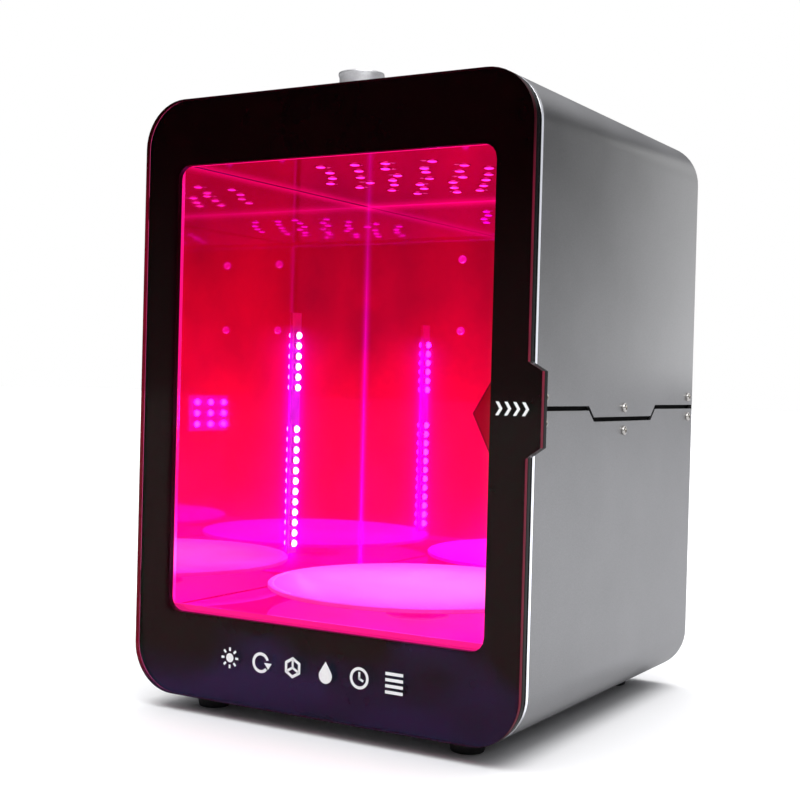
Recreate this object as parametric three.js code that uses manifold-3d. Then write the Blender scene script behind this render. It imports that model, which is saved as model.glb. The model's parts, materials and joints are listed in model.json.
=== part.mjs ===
// UV LED curing box for resin prints: an aluminium case with a hinged acrylic door,
// a mirrored chamber, LED boards, a driven turntable, a timer knob and a cooling fan.
//
// Units are millimetres, +Z is up and the door faces -Y. The origin is on the floor under
// the middle of the object. Inside the `station` group, y = 0 is the door's front face,
// z = 0 is the underside of the case and x = 0 is the middle of the case.

import * as THREE from 'three';
import { mergeVertices } from 'three/addons/utils/BufferGeometryUtils.js';
import Module from 'manifold-3d';

const wasm = await Module();
wasm.setup();

// ---------------------------------------------------------------- driving dimensions

const CASE = { width: 255, height: 350, depth: 254, cornerRadius: 28, sheet: 1.5 };
const HALF_W = CASE.width / 2;

// Clearance between neighbouring pieces, and how far a cutting tool passes the faces it cuts.
const GAP = 0.3;
const PASS = 5;

const FOOT = {
  height: 9.5,
  topRadius: 11.5,
  bottomRadius: 9.2,
  insetX: 41.5,
  insetY: 25,
  stem: 2.5,
  stemTop: 5,
};

// Layers from the door's front face backwards.
const PANEL = { front: 0, thickness: 3 };
const DOOR_FRAME = { front: PANEL.thickness + GAP, thickness: 3.5 };
const LEAF_LAYER = { front: 7.1, thickness: 1.2 };
const FRONT_FRAME = { front: 8.6, thickness: 2.7 };
const SHELL_FRONT = FRONT_FRAME.front + FRONT_FRAME.thickness + GAP;
const REAR_PANEL = { front: CASE.depth - 5.5, thickness: 1.5 };

const WINDOW = { halfWidth: 105, bottom: 48.5, top: 311.5, radius: 8 };
const TAB = { reach: 8.1, bottom: 150.3, straightBottom: 155.9, straightTop: 194.7, top: 199.3 };
const FRAME_OPENING = { halfWidth: 106.5, bottom: 52, top: 312, radius: 1.5 };
const LATCH = { tipX: 93, tipZ: 172, edgeX: 105, rightX: 121, bottom: 148, top: 192 };
const GASKET = {
  halfWidth: 113.5,
  bottom: 40,
  top: 320.5,
  radius: 9,
  inside: { halfWidth: 108.2, bottom: 45, top: 315, radius: 4 },
  latchGap: 2,
};
const MAGNET = { radius: 4, thickness: 2.4, x: 118, heights: [50, 300] };

// Chamber: the inner faces of its five mirrored walls.
const CHAMBER = { halfWidth: 107.7, floor: 50, ceiling: 314, back: 218.7, sheet: 1.5 };

// Seam between the two shells, seen from the side: points of its centre line as [y, z].
const SEAM = {
  gap: 2.5,
  line: [[80, 175.4], [87.5, 169.1], [177, 169.1], [184.3, 175.9]],
  frontZ: 175.4,
  rearZ: 175.9,
};
const SEAM_RAIL = { thickness: 1.7, bottom: 154, top: 191, front: 13, rear: 247.5, end: 253.5, tab: 13 };
const SIDE_SCREWS = [
  ['front_upper', 20.5, 181.5],
  ['front_lower', 20.5, 168.3],
  ['middle_upper', 132, 175.7],
  ['middle_lower', 132, 162.3],
  ['rear_upper', 244.5, 182.3],
  ['rear_lower', 244.5, 169.5],
];
const SCREW = {
  headRadius: 2.85,
  rimHeight: 0.45,
  headHeight: 1.65,
  crownShare: 0.7,
  shank: 1.4,
  length: 6,
  hole: 1.8,
  socket: 1.15,
  socketFloor: 0.75,
};
const SCREW_SEAT = 0.1;

// Cranked butt hinges on the left: one leaf behind the door's rim, with an arm back to the barrel,
// and the other leaf on the case's side.
const HINGE = {
  axisX: -132.4,
  axisY: 14,
  barrel: 3.2,
  bore: 1.8,
  pin: 1.5,
  pinHead: { radius: 2.3, height: 0.8 },
  height: 40,
  z: [62, 288],
  doorLeaf: { left: -128.6, right: -116 },
  arm: { left: -133.6, right: -132.4 },
  bodyLeaf: { left: -129, front: 12, back: 36 },
  strap: { left: -130.5, back: 18 },
};

const TURNTABLE = { radius: 94, top: 61.3, thickness: 3, y: 117.6, hole: 4.9, shaftHole: 6 };
const HUB = {
  shaft: 3,
  bottom: 44.3,
  collar: 10,
  collarBottom: 51.5,
  flange: 20,
  flangeBottom: 56,
  slope: 0.6,
};
const MOTOR = { radius: 25, bottom: 20.5, top: 42.5, chamfer: 1, neck: 6, neckTop: 44 };
const MOTOR_EARS = { halfX: 32, halfY: 6, bottom: 40, top: 41.2 };
const MOTOR_BRACKET = { top: 20.2, sheet: 1.5, legX: 34, footX: 50, length: 56 };

const TIMER = { y: 37, bodyRadius: 13, bodyBottom: 332, bushingRadius: 4.8, bushingTop: 354 };
const KNOB_NUT = { radius: 8, height: 2.4 };
const KNOB = {
  radius: 12.6,
  rimRadius: 13.2,
  bottom: 351,
  top: 363.2,
  hollow: 10.4,
  hollowTop: 357,
  shaft: 3,
};

// LED boards: the strip on the left wall, the panel on the right wall, and the ceiling board.
const LED = { size: 5, height: 1.4, sunk: 0.2 };
const STRIP = { y: 130.7, width: 10, board: 0.8, bottom: 70, top: 232, pitch: 7 };
const STRIP_LED_TOP = 216.7;
const STRIP_GROUPS = [{ first: 0, count: 6 }, { first: 9, count: 12 }];
const LED_PANEL = { y: 130.7, z: 156, pitchY: 18, pitchZ: 9.4, marginY: 8, marginZ: 6 };
const CEILING_BOARD = { radius: 78, bottom: 316, thickness: 1.6, y: 112 };
const CEILING_LEDS = { pitchX: 22.5, pitchY: 19.5, reach: 70, radius: 2.7, hole: 3.3, tip: 313.9 };

const FAN = {
  x: -4,
  z: 249,
  size: 60,
  corner: 4,
  front: 220.5,
  depth: 25,
  bore: 28,
  holePitch: 50,
  hole: 2.15,
};
const FAN_STRUTS = { cap: 13, depth: 3, halfLength: 29, halfWidth: 2 };
const ROTOR = {
  hub: 12.5,
  front: 2,
  back: 0.6,
  blades: 7,
  bladeWidth: 17,
  bladeSheet: 1.4,
  pitch: 0.7,
  tipGap: 1.5,
};
const GUARD = { rings: [10, 18.5, 27], wire: 2, bar: 3, front: 250.3, thickness: 2, ears: 35.4, ear: 4 };
const VENTS = { x: 62, bottom: 96, count: 7, pitch: 11, length: 66, width: 4 };
const JACK = {
  x: 84,
  z: 34,
  flange: 7.5,
  body: 5.6,
  bore: 3.3,
  depth: 9.5,
  inside: 14,
  reach: 1.6,
  chamfer: 0.6,
};

// Board behind the chamber, with its transformer, relay, driver and capacitors.
const CONTROL_BOARD = {
  front: 226,
  thickness: 1.6,
  halfWidth: 75,
  bottom: 62,
  top: 196,
  standoff: { radius: 3, x: [-69, 69], z: [68, 190] },
  blocks: [
    { x: [-62, -26], z: [140, 178], depth: 18 },
    { x: [-12, 8], z: [150, 176], depth: 15 },
    { x: [18, 58], z: [80, 104], depth: 8 },
  ],
  capacitor: { radius: 6, x: [24, 40, 56], z: 166, depth: 16 },
};

// ---------------------------------------------------------------- materials

function material(color, roughness, metalness, opacity = 1) {
  return new THREE.MeshStandardMaterial({ color, roughness, metalness, opacity, transparent: opacity < 1 });
}

const RED_ACRYLIC = material(0xb3001c, 0.08, 0.0, 0.45);
const CLEAR_ACRYLIC = material(0x6a0a18, 0.1, 0.0, 0.6);
const BLACK_ACRYLIC = material(0x0b0a0c, 0.12, 0.0);
const POLISHED_STEEL = material(0xe4e4e6, 0.15, 1.0);
const SATIN_ALUMINIUM = material(0xb5b7ba, 0.42, 1.0);
const TURNED_ALUMINIUM = material(0xc9cacc, 0.25, 1.0);
const MIRROR = material(0xe8e8ec, 0.05, 1.0);
const BLACK_STEEL = material(0x17171a, 0.5, 0.4);
const ZINC = material(0xa9abae, 0.35, 1.0);
const NICKEL = material(0xb8b6b0, 0.2, 1.0);
const RUBBER = material(0x101011, 0.85, 0.0);
const FOAM = material(0x141416, 0.95, 0.0);
const BLACK_PLASTIC = material(0x161617, 0.55, 0.0);
const WHITE_BOARD = material(0xe9e9ea, 0.5, 0.0);
const GREEN_BOARD = material(0x1c5a35, 0.5, 0.0);
const WHITE_DISC = material(0xf3f1f2, 0.45, 0.0);

// ---------------------------------------------------------------- solids

// Closed three.js geometry to a solid that can be joined and cut.
function solid(geometry) {
  const bare = geometry.clone();
  bare.deleteAttribute('normal');
  bare.deleteAttribute('uv');
  const merged = mergeVertices(bare, 1e-4);
  const corners = merged.attributes.position.array;
  const triangles = [];
  for (let i = 0; i < merged.index.count; i += 3) {
    const [a, b, c] = [0, 1, 2].map((k) => merged.index.getX(i + k));
    if (a !== b && b !== c && c !== a) triangles.push([a, b, c]);
  }
  const point = (i) => new THREE.Vector3(corners[3 * i], corners[3 * i + 1], corners[3 * i + 2]);
  let volume = 0;
  for (const [a, b, c] of triangles) volume += point(a).dot(point(b).cross(point(c)));
  const facing = volume < 0 ? triangles.map(([a, b, c]) => [a, c, b]) : triangles;
  const mesh = new wasm.Mesh({
    numProp: 3,
    vertProperties: new Float32Array(corners),
    triVerts: new Uint32Array(facing.flat()),
  });
  return new wasm.Manifold(mesh);
}

function geometryOf(shape) {
  const mesh = shape.getMesh();
  const geometry = new THREE.BufferGeometry();
  geometry.setAttribute('position', new THREE.BufferAttribute(mesh.vertProperties, 3));
  geometry.setIndex(new THREE.BufferAttribute(mesh.triVerts, 1));
  geometry.computeVertexNormals();
  return geometry;
}

const join = (first, ...others) => others.reduce((whole, part) => whole.add(part), first);
const cut = (first, ...tools) => tools.reduce((whole, tool) => whole.subtract(tool), first);

function box(x0, x1, y0, y1, z0, z1) {
  const geometry = new THREE.BoxGeometry(x1 - x0, y1 - y0, z1 - z0);
  geometry.translate((x0 + x1) / 2, (y0 + y1) / 2, (z0 + z1) / 2);
  return solid(geometry);
}

function extrude(shape, depth, segments) {
  return new THREE.ExtrudeGeometry(shape, { depth, bevelEnabled: false, curveSegments: segments });
}

// A sheet drawn in the front view (x, z), from `front` back to `front + thickness`.
function frontSheet(shape, front, thickness, segments = 6) {
  const geometry = extrude(shape, thickness, segments);
  geometry.rotateX(Math.PI / 2);
  geometry.translate(0, front + thickness, 0);
  return solid(geometry);
}

// A sheet drawn in the side view (y, z), from `left` to `left + thickness` along x.
function sideSheet(shape, left, thickness, segments = 6) {
  const geometry = extrude(shape, thickness, segments);
  geometry.applyMatrix4(new THREE.Matrix4().set(0, 0, 1, 0, 1, 0, 0, 0, 0, 1, 0, 0, 0, 0, 0, 1));
  geometry.translate(left, 0, 0);
  return solid(geometry);
}

// A sheet drawn in the top view (x, y), from `bottom` to `bottom + thickness`.
function flatSheet(shape, bottom, thickness, segments = 6) {
  const geometry = extrude(shape, thickness, segments);
  geometry.translate(0, 0, bottom);
  return solid(geometry);
}

// A turned piece: the profile lists [radius, distance along the axis] and starts and ends on the axis
// or closes on itself.
function turned(profile, segments, axis = 'z', at = [0, 0, 0]) {
  const geometry = new THREE.LatheGeometry(profile.map(([r, h]) => new THREE.Vector2(r, h)), segments);
  if (axis === 'z') geometry.rotateX(Math.PI / 2);
  if (axis === 'x') geometry.rotateZ(-Math.PI / 2);
  geometry.translate(...at);
  return solid(geometry);
}

function rod(radius, from, to, segments, axis = 'z', at = [0, 0, 0]) {
  return turned([[0, from], [radius, from], [radius, to], [0, to]], segments, axis, at);
}

function ring(outer, inner, from, to, segments, axis = 'z', at = [0, 0, 0]) {
  const profile = [[inner, from], [outer, from], [outer, to], [inner, to], [inner, from]];
  return turned(profile, segments, axis, at);
}

// ---------------------------------------------------------------- outlines

function polygon(points) {
  return new THREE.Shape(points.map(([u, v]) => new THREE.Vector2(u, v)));
}

function roundedRect(x0, x1, z0, z1, r) {
  const shape = new THREE.Shape();
  shape.absarc(x1 - r, z0 + r, r, -Math.PI / 2, 0, false);
  shape.absarc(x1 - r, z1 - r, r, 0, Math.PI / 2, false);
  shape.absarc(x0 + r, z1 - r, r, Math.PI / 2, Math.PI, false);
  shape.absarc(x0 + r, z0 + r, r, Math.PI, 1.5 * Math.PI, false);
  return shape;
}

// The door's outline: the case's own, with the pull tab standing out of the right side.
function doorOutline() {
  const r = CASE.cornerRadius;
  const shape = new THREE.Shape();
  shape.absarc(HALF_W - r, r, r, -Math.PI / 2, 0, false);
  shape.lineTo(HALF_W, TAB.bottom);
  shape.lineTo(HALF_W + TAB.reach, TAB.straightBottom);
  shape.lineTo(HALF_W + TAB.reach, TAB.straightTop);
  shape.lineTo(HALF_W, TAB.top);
  shape.absarc(HALF_W - r, CASE.height - r, r, 0, Math.PI / 2, false);
  shape.absarc(r - HALF_W, CASE.height - r, r, Math.PI / 2, Math.PI, false);
  shape.absarc(r - HALF_W, r, r, Math.PI, 1.5 * Math.PI, false);
  return shape;
}

function caseOutline(inset = 0) {
  const r = CASE.cornerRadius - inset;
  return roundedRect(inset - HALF_W, HALF_W - inset, inset, CASE.height - inset, r);
}

// A rounded opening whose small corners need only a few facets.
function opening({ halfWidth, bottom, top, radius }) {
  return new THREE.Path(roundedRect(-halfWidth, halfWidth, bottom, top, radius).getPoints(2));
}

// ---------------------------------------------------------------- assembly

const curingBox = new THREE.Group();
const station = new THREE.Group();
station.position.set(0, -CASE.depth / 2, FOOT.height);
curingBox.add(station);

function place(name, shape, finish, position = [0, 0, 0]) {
  const mesh = new THREE.Mesh(geometryOf(shape), finish);
  mesh.name = name;
  mesh.position.set(...position);
  station.add(mesh);
}

// ---------------------------------------------------------------- door

function buildDoor() {
  place('door_panel', frontSheet(doorOutline(), PANEL.front, PANEL.thickness), RED_ACRYLIC);

  const frameShape = doorOutline();
  frameShape.holes.push(opening(WINDOW));
  const pocketFront = DOOR_FRAME.front + DOOR_FRAME.thickness - MAGNET.thickness - GAP;
  const pockets = MAGNET.heights.map((z) =>
    rod(MAGNET.radius + GAP, pocketFront, pocketFront + PASS, 12, 'y', [MAGNET.x, 0, z]));
  const frame = frontSheet(frameShape, DOOR_FRAME.front, DOOR_FRAME.thickness);
  place('door_frame', cut(frame, ...pockets), BLACK_ACRYLIC);

  const names = ['door_magnet_lower', 'door_magnet_upper'];
  MAGNET.heights.forEach((z, i) => {
    const front = pocketFront + GAP;
    const magnet = rod(MAGNET.radius, front, front + MAGNET.thickness, 12, 'y', [MAGNET.x, 0, z]);
    place(names[i], magnet, NICKEL);
  });

  const plate = polygon([
    [LATCH.tipX, LATCH.tipZ],
    [LATCH.edgeX, LATCH.bottom],
    [LATCH.rightX, LATCH.bottom],
    [LATCH.rightX, LATCH.top],
    [LATCH.edgeX, LATCH.top],
  ]);
  place('latch_plate', frontSheet(plate, LEAF_LAYER.front, LEAF_LAYER.thickness), CLEAR_ACRYLIC);

  // The foam strip runs round the window and stops short of the latch plate on both sides of it.
  const seal = roundedRect(-GASKET.halfWidth, GASKET.halfWidth, GASKET.bottom, GASKET.top, GASKET.radius);
  seal.holes.push(opening(GASKET.inside));
  const strip = frontSheet(seal, LEAF_LAYER.front, LEAF_LAYER.thickness, 2);
  const notch = box(
    GASKET.inside.halfWidth - PASS, GASKET.halfWidth + PASS,
    LEAF_LAYER.front - PASS, LEAF_LAYER.front + LEAF_LAYER.thickness + PASS,
    LATCH.bottom - GASKET.latchGap, LATCH.top + GASKET.latchGap,
  );
  place('door_gasket', cut(strip, notch), FOAM);
}

// ---------------------------------------------------------------- hinges

function buildHinge(name, z) {
  const { axisX, axisY, barrel, bore, pin, pinHead, height, doorLeaf, arm, bodyLeaf, strap } = HINGE;
  const half = height / 2;
  const third = height / 6;
  const at = [axisX, axisY, z];
  const hole = rod(bore, -half - PASS, half + PASS, 10, 'z', at);

  const layerBack = LEAF_LAYER.front + LEAF_LAYER.thickness;
  const moving = join(
    rod(barrel, -third, third, 12, 'z', at),
    box(arm.left, arm.right, LEAF_LAYER.front, axisY, z - third, z + third),
    box(arm.left, doorLeaf.left + 1, LEAF_LAYER.front, layerBack, z - third, z + third),
    box(doorLeaf.left, doorLeaf.right, LEAF_LAYER.front, layerBack, z - half, z + half),
  );
  place(`${name}_door_leaf`, cut(moving, hole), ZINC);

  // Two knuckles, each with a strap back to the leaf on the case.
  const caseSide = -HALF_W - GAP;
  const fixed = [box(bodyLeaf.left, caseSide, bodyLeaf.front, bodyLeaf.back, z - half, z + half)];
  for (const [low, high] of [[-half, -third - GAP], [third + GAP, half]]) {
    fixed.push(rod(barrel, low, high, 12, 'z', at));
    fixed.push(box(strap.left, caseSide, axisY, strap.back, z + low, z + high));
  }
  place(`${name}_body_leaf`, cut(join(...fixed), hole), ZINC);

  const headFrom = half + GAP;
  const headTo = headFrom + pinHead.height;
  const profile = [
    [0, -headTo], [pinHead.radius, -headTo], [pinHead.radius, -headFrom], [pin, -headFrom],
    [pin, headFrom], [pinHead.radius, headFrom], [pinHead.radius, headTo], [0, headTo],
  ];
  place(`${name}_pin`, turned(profile, 10, 'z', at), ZINC);
}

// ---------------------------------------------------------------- case

// Closed outline of everything above (side = 1) or below (side = -1) the seam, in the side view.
function seamRegion(side) {
  const reach = side > 0 ? CASE.height + PASS : -PASS;
  const shift = side * SEAM.gap / 2;
  const points = [[0, SEAM.frontZ], ...SEAM.line, [CASE.depth + PASS, SEAM.rearZ]];
  const edge = points.map(([y, z]) => [y, z + shift]);
  return polygon([...edge, [CASE.depth + PASS, reach], [0, reach]]);
}

function sideScrewHoles() {
  const inner = HALF_W - SCREW.length - PASS;
  const outer = HALF_W + PASS;
  return SIDE_SCREWS.flatMap(([, y, z]) => [
    rod(SCREW.hole, -outer, -inner, 8, 'x', [0, y, z]),
    rod(SCREW.hole, inner, outer, 8, 'x', [0, y, z]),
  ]);
}

function footPlaces() {
  const x = HALF_W - FOOT.insetX;
  const rear = CASE.depth - FOOT.insetY;
  return [
    ['foot_front_left', -x, FOOT.insetY],
    ['foot_front_right', x, FOOT.insetY],
    ['foot_rear_left', -x, rear],
    ['foot_rear_right', x, rear],
  ];
}

function buildCase() {
  const frontShape = caseOutline();
  frontShape.holes.push(opening(FRAME_OPENING));
  const front = frontSheet(frontShape, FRONT_FRAME.front, FRONT_FRAME.thickness);
  place('front_frame', front, POLISHED_STEEL);

  const tubeShape = caseOutline();
  tubeShape.holes.push(caseOutline(CASE.sheet));
  const tube = frontSheet(tubeShape, SHELL_FRONT, CASE.depth - SHELL_FRONT);
  const screwHoles = sideScrewHoles();
  const span = CASE.width + 2 * PASS;
  const upper = tube.intersect(sideSheet(seamRegion(1), -span / 2, span));
  const lower = tube.intersect(sideSheet(seamRegion(-1), -span / 2, span));
  const roof = CASE.height;
  const bushingHole = rod(TIMER.bushingRadius + GAP, roof - PASS, roof + PASS, 16, 'z', [0, TIMER.y, 0]);
  const stemHoles = footPlaces().map(([, x, y]) => rod(FOOT.stem + GAP, -PASS, PASS, 8, 'z', [x, y, 0]));
  place('upper_shell', cut(upper, bushingHole, ...screwHoles), SATIN_ALUMINIUM);
  place('lower_shell', cut(lower, ...stemHoles, ...screwHoles), SATIN_ALUMINIUM);

  // Each seam rail is a channel behind the seam: a strip with two tabs turned inwards. The rear tab
  // stops in front of the rear panel, and the strip runs on through a notch in that panel.
  const outer = HALF_W - CASE.sheet - GAP;
  const inner = outer - SEAM_RAIL.thickness;
  for (const [name, side] of [['seam_rail_left', -1], ['seam_rail_right', 1]]) {
    const points = [
      [outer, SEAM_RAIL.front], [outer, SEAM_RAIL.end], [inner, SEAM_RAIL.end], [inner, SEAM_RAIL.rear],
      [outer - SEAM_RAIL.tab, SEAM_RAIL.rear], [outer - SEAM_RAIL.tab, SEAM_RAIL.rear - SEAM_RAIL.thickness],
      [inner, SEAM_RAIL.rear - SEAM_RAIL.thickness], [inner, SEAM_RAIL.front + SEAM_RAIL.thickness],
      [outer - SEAM_RAIL.tab, SEAM_RAIL.front + SEAM_RAIL.thickness],
      [outer - SEAM_RAIL.tab, SEAM_RAIL.front],
    ];
    const channel = polygon(points.map(([x, y]) => [side * x, y]));
    const rail = flatSheet(channel, SEAM_RAIL.bottom, SEAM_RAIL.top - SEAM_RAIL.bottom);
    place(name, cut(rail, ...screwHoles), BLACK_STEEL);
  }

  buildRearPanel();
  for (const [name, x, y] of footPlaces()) {
    const profile = [
      [0, -FOOT.height], [FOOT.bottomRadius - 1, -FOOT.height], [FOOT.bottomRadius, -FOOT.height + 1],
      [FOOT.topRadius, -GAP], [FOOT.stem, -GAP], [FOOT.stem, FOOT.stemTop - 1], [0, FOOT.stemTop],
    ];
    place(name, turned(profile, 14, 'z', [x, y, 0]), RUBBER);
  }
}

function buildRearPanel() {
  const rear = REAR_PANEL.front + REAR_PANEL.thickness;
  const toolFront = REAR_PANEL.front - PASS;
  const toolBack = rear + PASS;
  const vents = [];
  for (const side of [-1, 1]) {
    for (let i = 0; i < VENTS.count; i += 1) {
      const z = VENTS.bottom + i * VENTS.pitch;
      const x = side * VENTS.x;
      const half = VENTS.length / 2;
      const round = VENTS.width / 2 - 0.01;
      const slot = roundedRect(x - half, x + half, z - VENTS.width / 2, z + VENTS.width / 2, round);
      vents.push(frontSheet(slot, toolFront, toolBack - toolFront, 1));
    }
  }
  const panel = frontSheet(caseOutline(CASE.sheet + GAP), REAR_PANEL.front, REAR_PANEL.thickness);
  const outlet = rod(FAN.bore, toolFront, toolBack, 24, 'y', [FAN.x, 0, FAN.z]);
  const jackHole = rod(JACK.body + GAP, toolFront, toolBack, 12, 'y', [JACK.x, 0, JACK.z]);
  const railInner = HALF_W - CASE.sheet - GAP - SEAM_RAIL.thickness - GAP;
  const [railLow, railHigh] = [SEAM_RAIL.bottom - GAP, SEAM_RAIL.top + GAP];
  const notches = [
    box(-HALF_W, -railInner, toolFront, toolBack, railLow, railHigh),
    box(railInner, HALF_W, toolFront, toolBack, railLow, railHigh),
  ];
  place('rear_panel', cut(panel, outlet, jackHole, ...vents, ...notches), SATIN_ALUMINIUM);

  // A wire-style guard: three rings on a cross, with an ear at each corner.
  const back = GUARD.front + GUARD.thickness;
  const at = [FAN.x, 0, FAN.z];
  const guard = GUARD.rings.map((r) => ring(r + GUARD.wire, r, GUARD.front, back, 16, 'y', at));
  for (const angle of [Math.PI / 4, -Math.PI / 4]) {
    const bar = new THREE.BoxGeometry(2 * GUARD.ears, GUARD.thickness, GUARD.bar);
    bar.rotateY(angle);
    bar.translate(FAN.x, (GUARD.front + back) / 2, FAN.z);
    guard.push(solid(bar));
  }
  const half = FAN.holePitch / 2;
  const holes = [];
  for (const [sx, sz] of [[-1, -1], [-1, 1], [1, -1], [1, 1]]) {
    const corner = [FAN.x + sx * half, 0, FAN.z + sz * half];
    guard.push(rod(GUARD.ear, GUARD.front, back, 8, 'y', corner));
    holes.push(rod(SCREW.hole, GUARD.front - PASS, back + PASS, 6, 'y', corner));
  }
  place('fan_guard', cut(join(...guard), ...holes), BLACK_STEEL);

  const inner = rear - JACK.inside;
  const seat = rear + SCREW_SEAT;
  const mouth = rear + JACK.reach;
  const profile = [
    [0, inner], [JACK.body, inner], [JACK.body, seat], [JACK.flange, seat],
    [JACK.flange, mouth - JACK.chamfer], [JACK.flange - JACK.chamfer, mouth], [JACK.bore, mouth],
    [JACK.bore, mouth - JACK.depth], [0, mouth - JACK.depth],
  ];
  place('dc_jack', turned(profile, 12, 'y', [JACK.x, 0, JACK.z]), BLACK_PLASTIC);
}

// A button-head screw with a hexagonal socket. Its head's underside is at distance 0 along the axis.
function screw(axis, direction, at) {
  const { headRadius, rimHeight, headHeight, crownShare, shank, length, socket, socketFloor } = SCREW;
  const profile = [
    [0, -length], [shank, -length], [shank, 0], [headRadius, 0],
    [headRadius, rimHeight], [crownShare * headRadius, headHeight], [0, headHeight],
  ];
  const facing = profile.map(([r, h]) => [r, direction * h]);
  const hexagon = rod(socket, direction * socketFloor, direction * (headHeight + PASS), 6, axis, at);
  return cut(turned(facing, 8, axis, at), hexagon);
}

function buildSideScrews() {
  const seat = HALF_W + SCREW_SEAT;
  for (const [side, direction] of [['left', -1], ['right', 1]]) {
    for (const [label, y, z] of SIDE_SCREWS) {
      place(`side_screw_${side}_${label}`, screw('x', direction, [direction * seat, y, z]), NICKEL);
    }
  }
}

// ---------------------------------------------------------------- chamber

function ceilingLedPlaces() {
  const places = [];
  for (let row = -4; row <= 4; row += 1) {
    const offset = row % 2 === 0 ? 0 : CEILING_LEDS.pitchX / 2;
    for (let column = -5; column <= 5; column += 1) {
      const x = column * CEILING_LEDS.pitchX + offset;
      const y = row * CEILING_LEDS.pitchY;
      if (Math.hypot(x, y) <= CEILING_LEDS.reach) places.push([x, y + CEILING_BOARD.y]);
    }
  }
  return places;
}

function fanScrewPlaces() {
  const half = FAN.holePitch / 2;
  return [
    ['fan_screw_lower_left', FAN.x - half, FAN.z - half],
    ['fan_screw_lower_right', FAN.x + half, FAN.z - half],
    ['fan_screw_upper_left', FAN.x - half, FAN.z + half],
    ['fan_screw_upper_right', FAN.x + half, FAN.z + half],
  ];
}

function buildChamber() {
  const { halfWidth, floor, ceiling, back, sheet } = CHAMBER;
  const front = SHELL_FRONT;
  const rear = back - GAP;
  const wide = halfWidth + sheet;
  place('left_mirror', box(-wide, -halfWidth, front, rear, floor + GAP, ceiling - GAP), MIRROR);
  place('right_mirror', box(halfWidth, wide, front, rear, floor + GAP, ceiling - GAP), MIRROR);

  const fanHoles = fanScrewPlaces().map(([, x, z]) =>
    rod(SCREW.hole, back - PASS, back + PASS, 8, 'y', [x, 0, z]));
  const backSheet = box(-wide, wide, back, back + sheet, floor - sheet, ceiling + sheet);
  place('back_mirror', cut(backSheet, ...fanHoles), MIRROR);

  const shaftHole = rod(TURNTABLE.shaftHole, floor - PASS, floor + PASS, 12, 'z', [0, TURNTABLE.y, 0]);
  place('floor_mirror', cut(box(-wide, wide, front, rear, floor - sheet, floor), shaftHole), MIRROR);

  const ledHoles = ceilingLedPlaces().map(([x, y]) =>
    rod(CEILING_LEDS.hole, ceiling - PASS, ceiling + PASS, 6, 'z', [x, y, 0]));
  const ceilingSheet = box(-wide, wide, front, rear, ceiling, ceiling + sheet);
  place('ceiling_mirror', cut(ceilingSheet, ...ledHoles), MIRROR);
}

// ---------------------------------------------------------------- LED boards

function buildLedBoards() {
  // Strip on the left wall: two runs of LEDs on one long board.
  const wall = -CHAMBER.halfWidth + GAP;
  const face = wall + STRIP.board;
  const reachAcross = STRIP.width / 2;
  const parts = [box(wall, face, STRIP.y - reachAcross, STRIP.y + reachAcross, STRIP.bottom, STRIP.top)];
  const half = LED.size / 2;
  for (const { first, count } of STRIP_GROUPS) {
    for (let i = first; i < first + count; i += 1) {
      const z = STRIP_LED_TOP - i * STRIP.pitch;
      parts.push(box(face - LED.sunk, face + LED.height, STRIP.y - half, STRIP.y + half, z - half, z + half));
    }
  }
  place('led_strip_left', join(...parts), WHITE_BOARD);

  // Panel on the right wall: three rows of three LEDs.
  const outer = CHAMBER.halfWidth - GAP;
  const inner = outer - STRIP.board;
  const reachY = LED_PANEL.pitchY + LED_PANEL.marginY;
  const reachZ = LED_PANEL.pitchZ + LED_PANEL.marginZ;
  const { y: centreY, z: centreZ } = LED_PANEL;
  const panel = [box(inner, outer, centreY - reachY, centreY + reachY, centreZ - reachZ, centreZ + reachZ)];
  for (const row of [-1, 0, 1]) {
    for (const column of [-1, 0, 1]) {
      const y = centreY + column * LED_PANEL.pitchY;
      const z = centreZ + row * LED_PANEL.pitchZ;
      panel.push(box(inner - LED.height, inner + LED.sunk, y - half, y + half, z - half, z + half));
    }
  }
  place('led_panel_right', join(...panel), WHITE_BOARD);

  // Round board above the ceiling: its LEDs reach down through the ceiling's holes.
  const { radius, bottom, thickness, y: boardY } = CEILING_BOARD;
  const disc = rod(radius, bottom, bottom + thickness, 32, 'z', [0, boardY, 0]);
  const leds = ceilingLedPlaces().map(([x, y]) =>
    rod(CEILING_LEDS.radius, CEILING_LEDS.tip, bottom + LED.sunk, 6, 'z', [x, y, 0]));
  place('ceiling_led_board', join(disc, ...leds), WHITE_BOARD);
}

// ---------------------------------------------------------------- turntable and its drive

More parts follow.
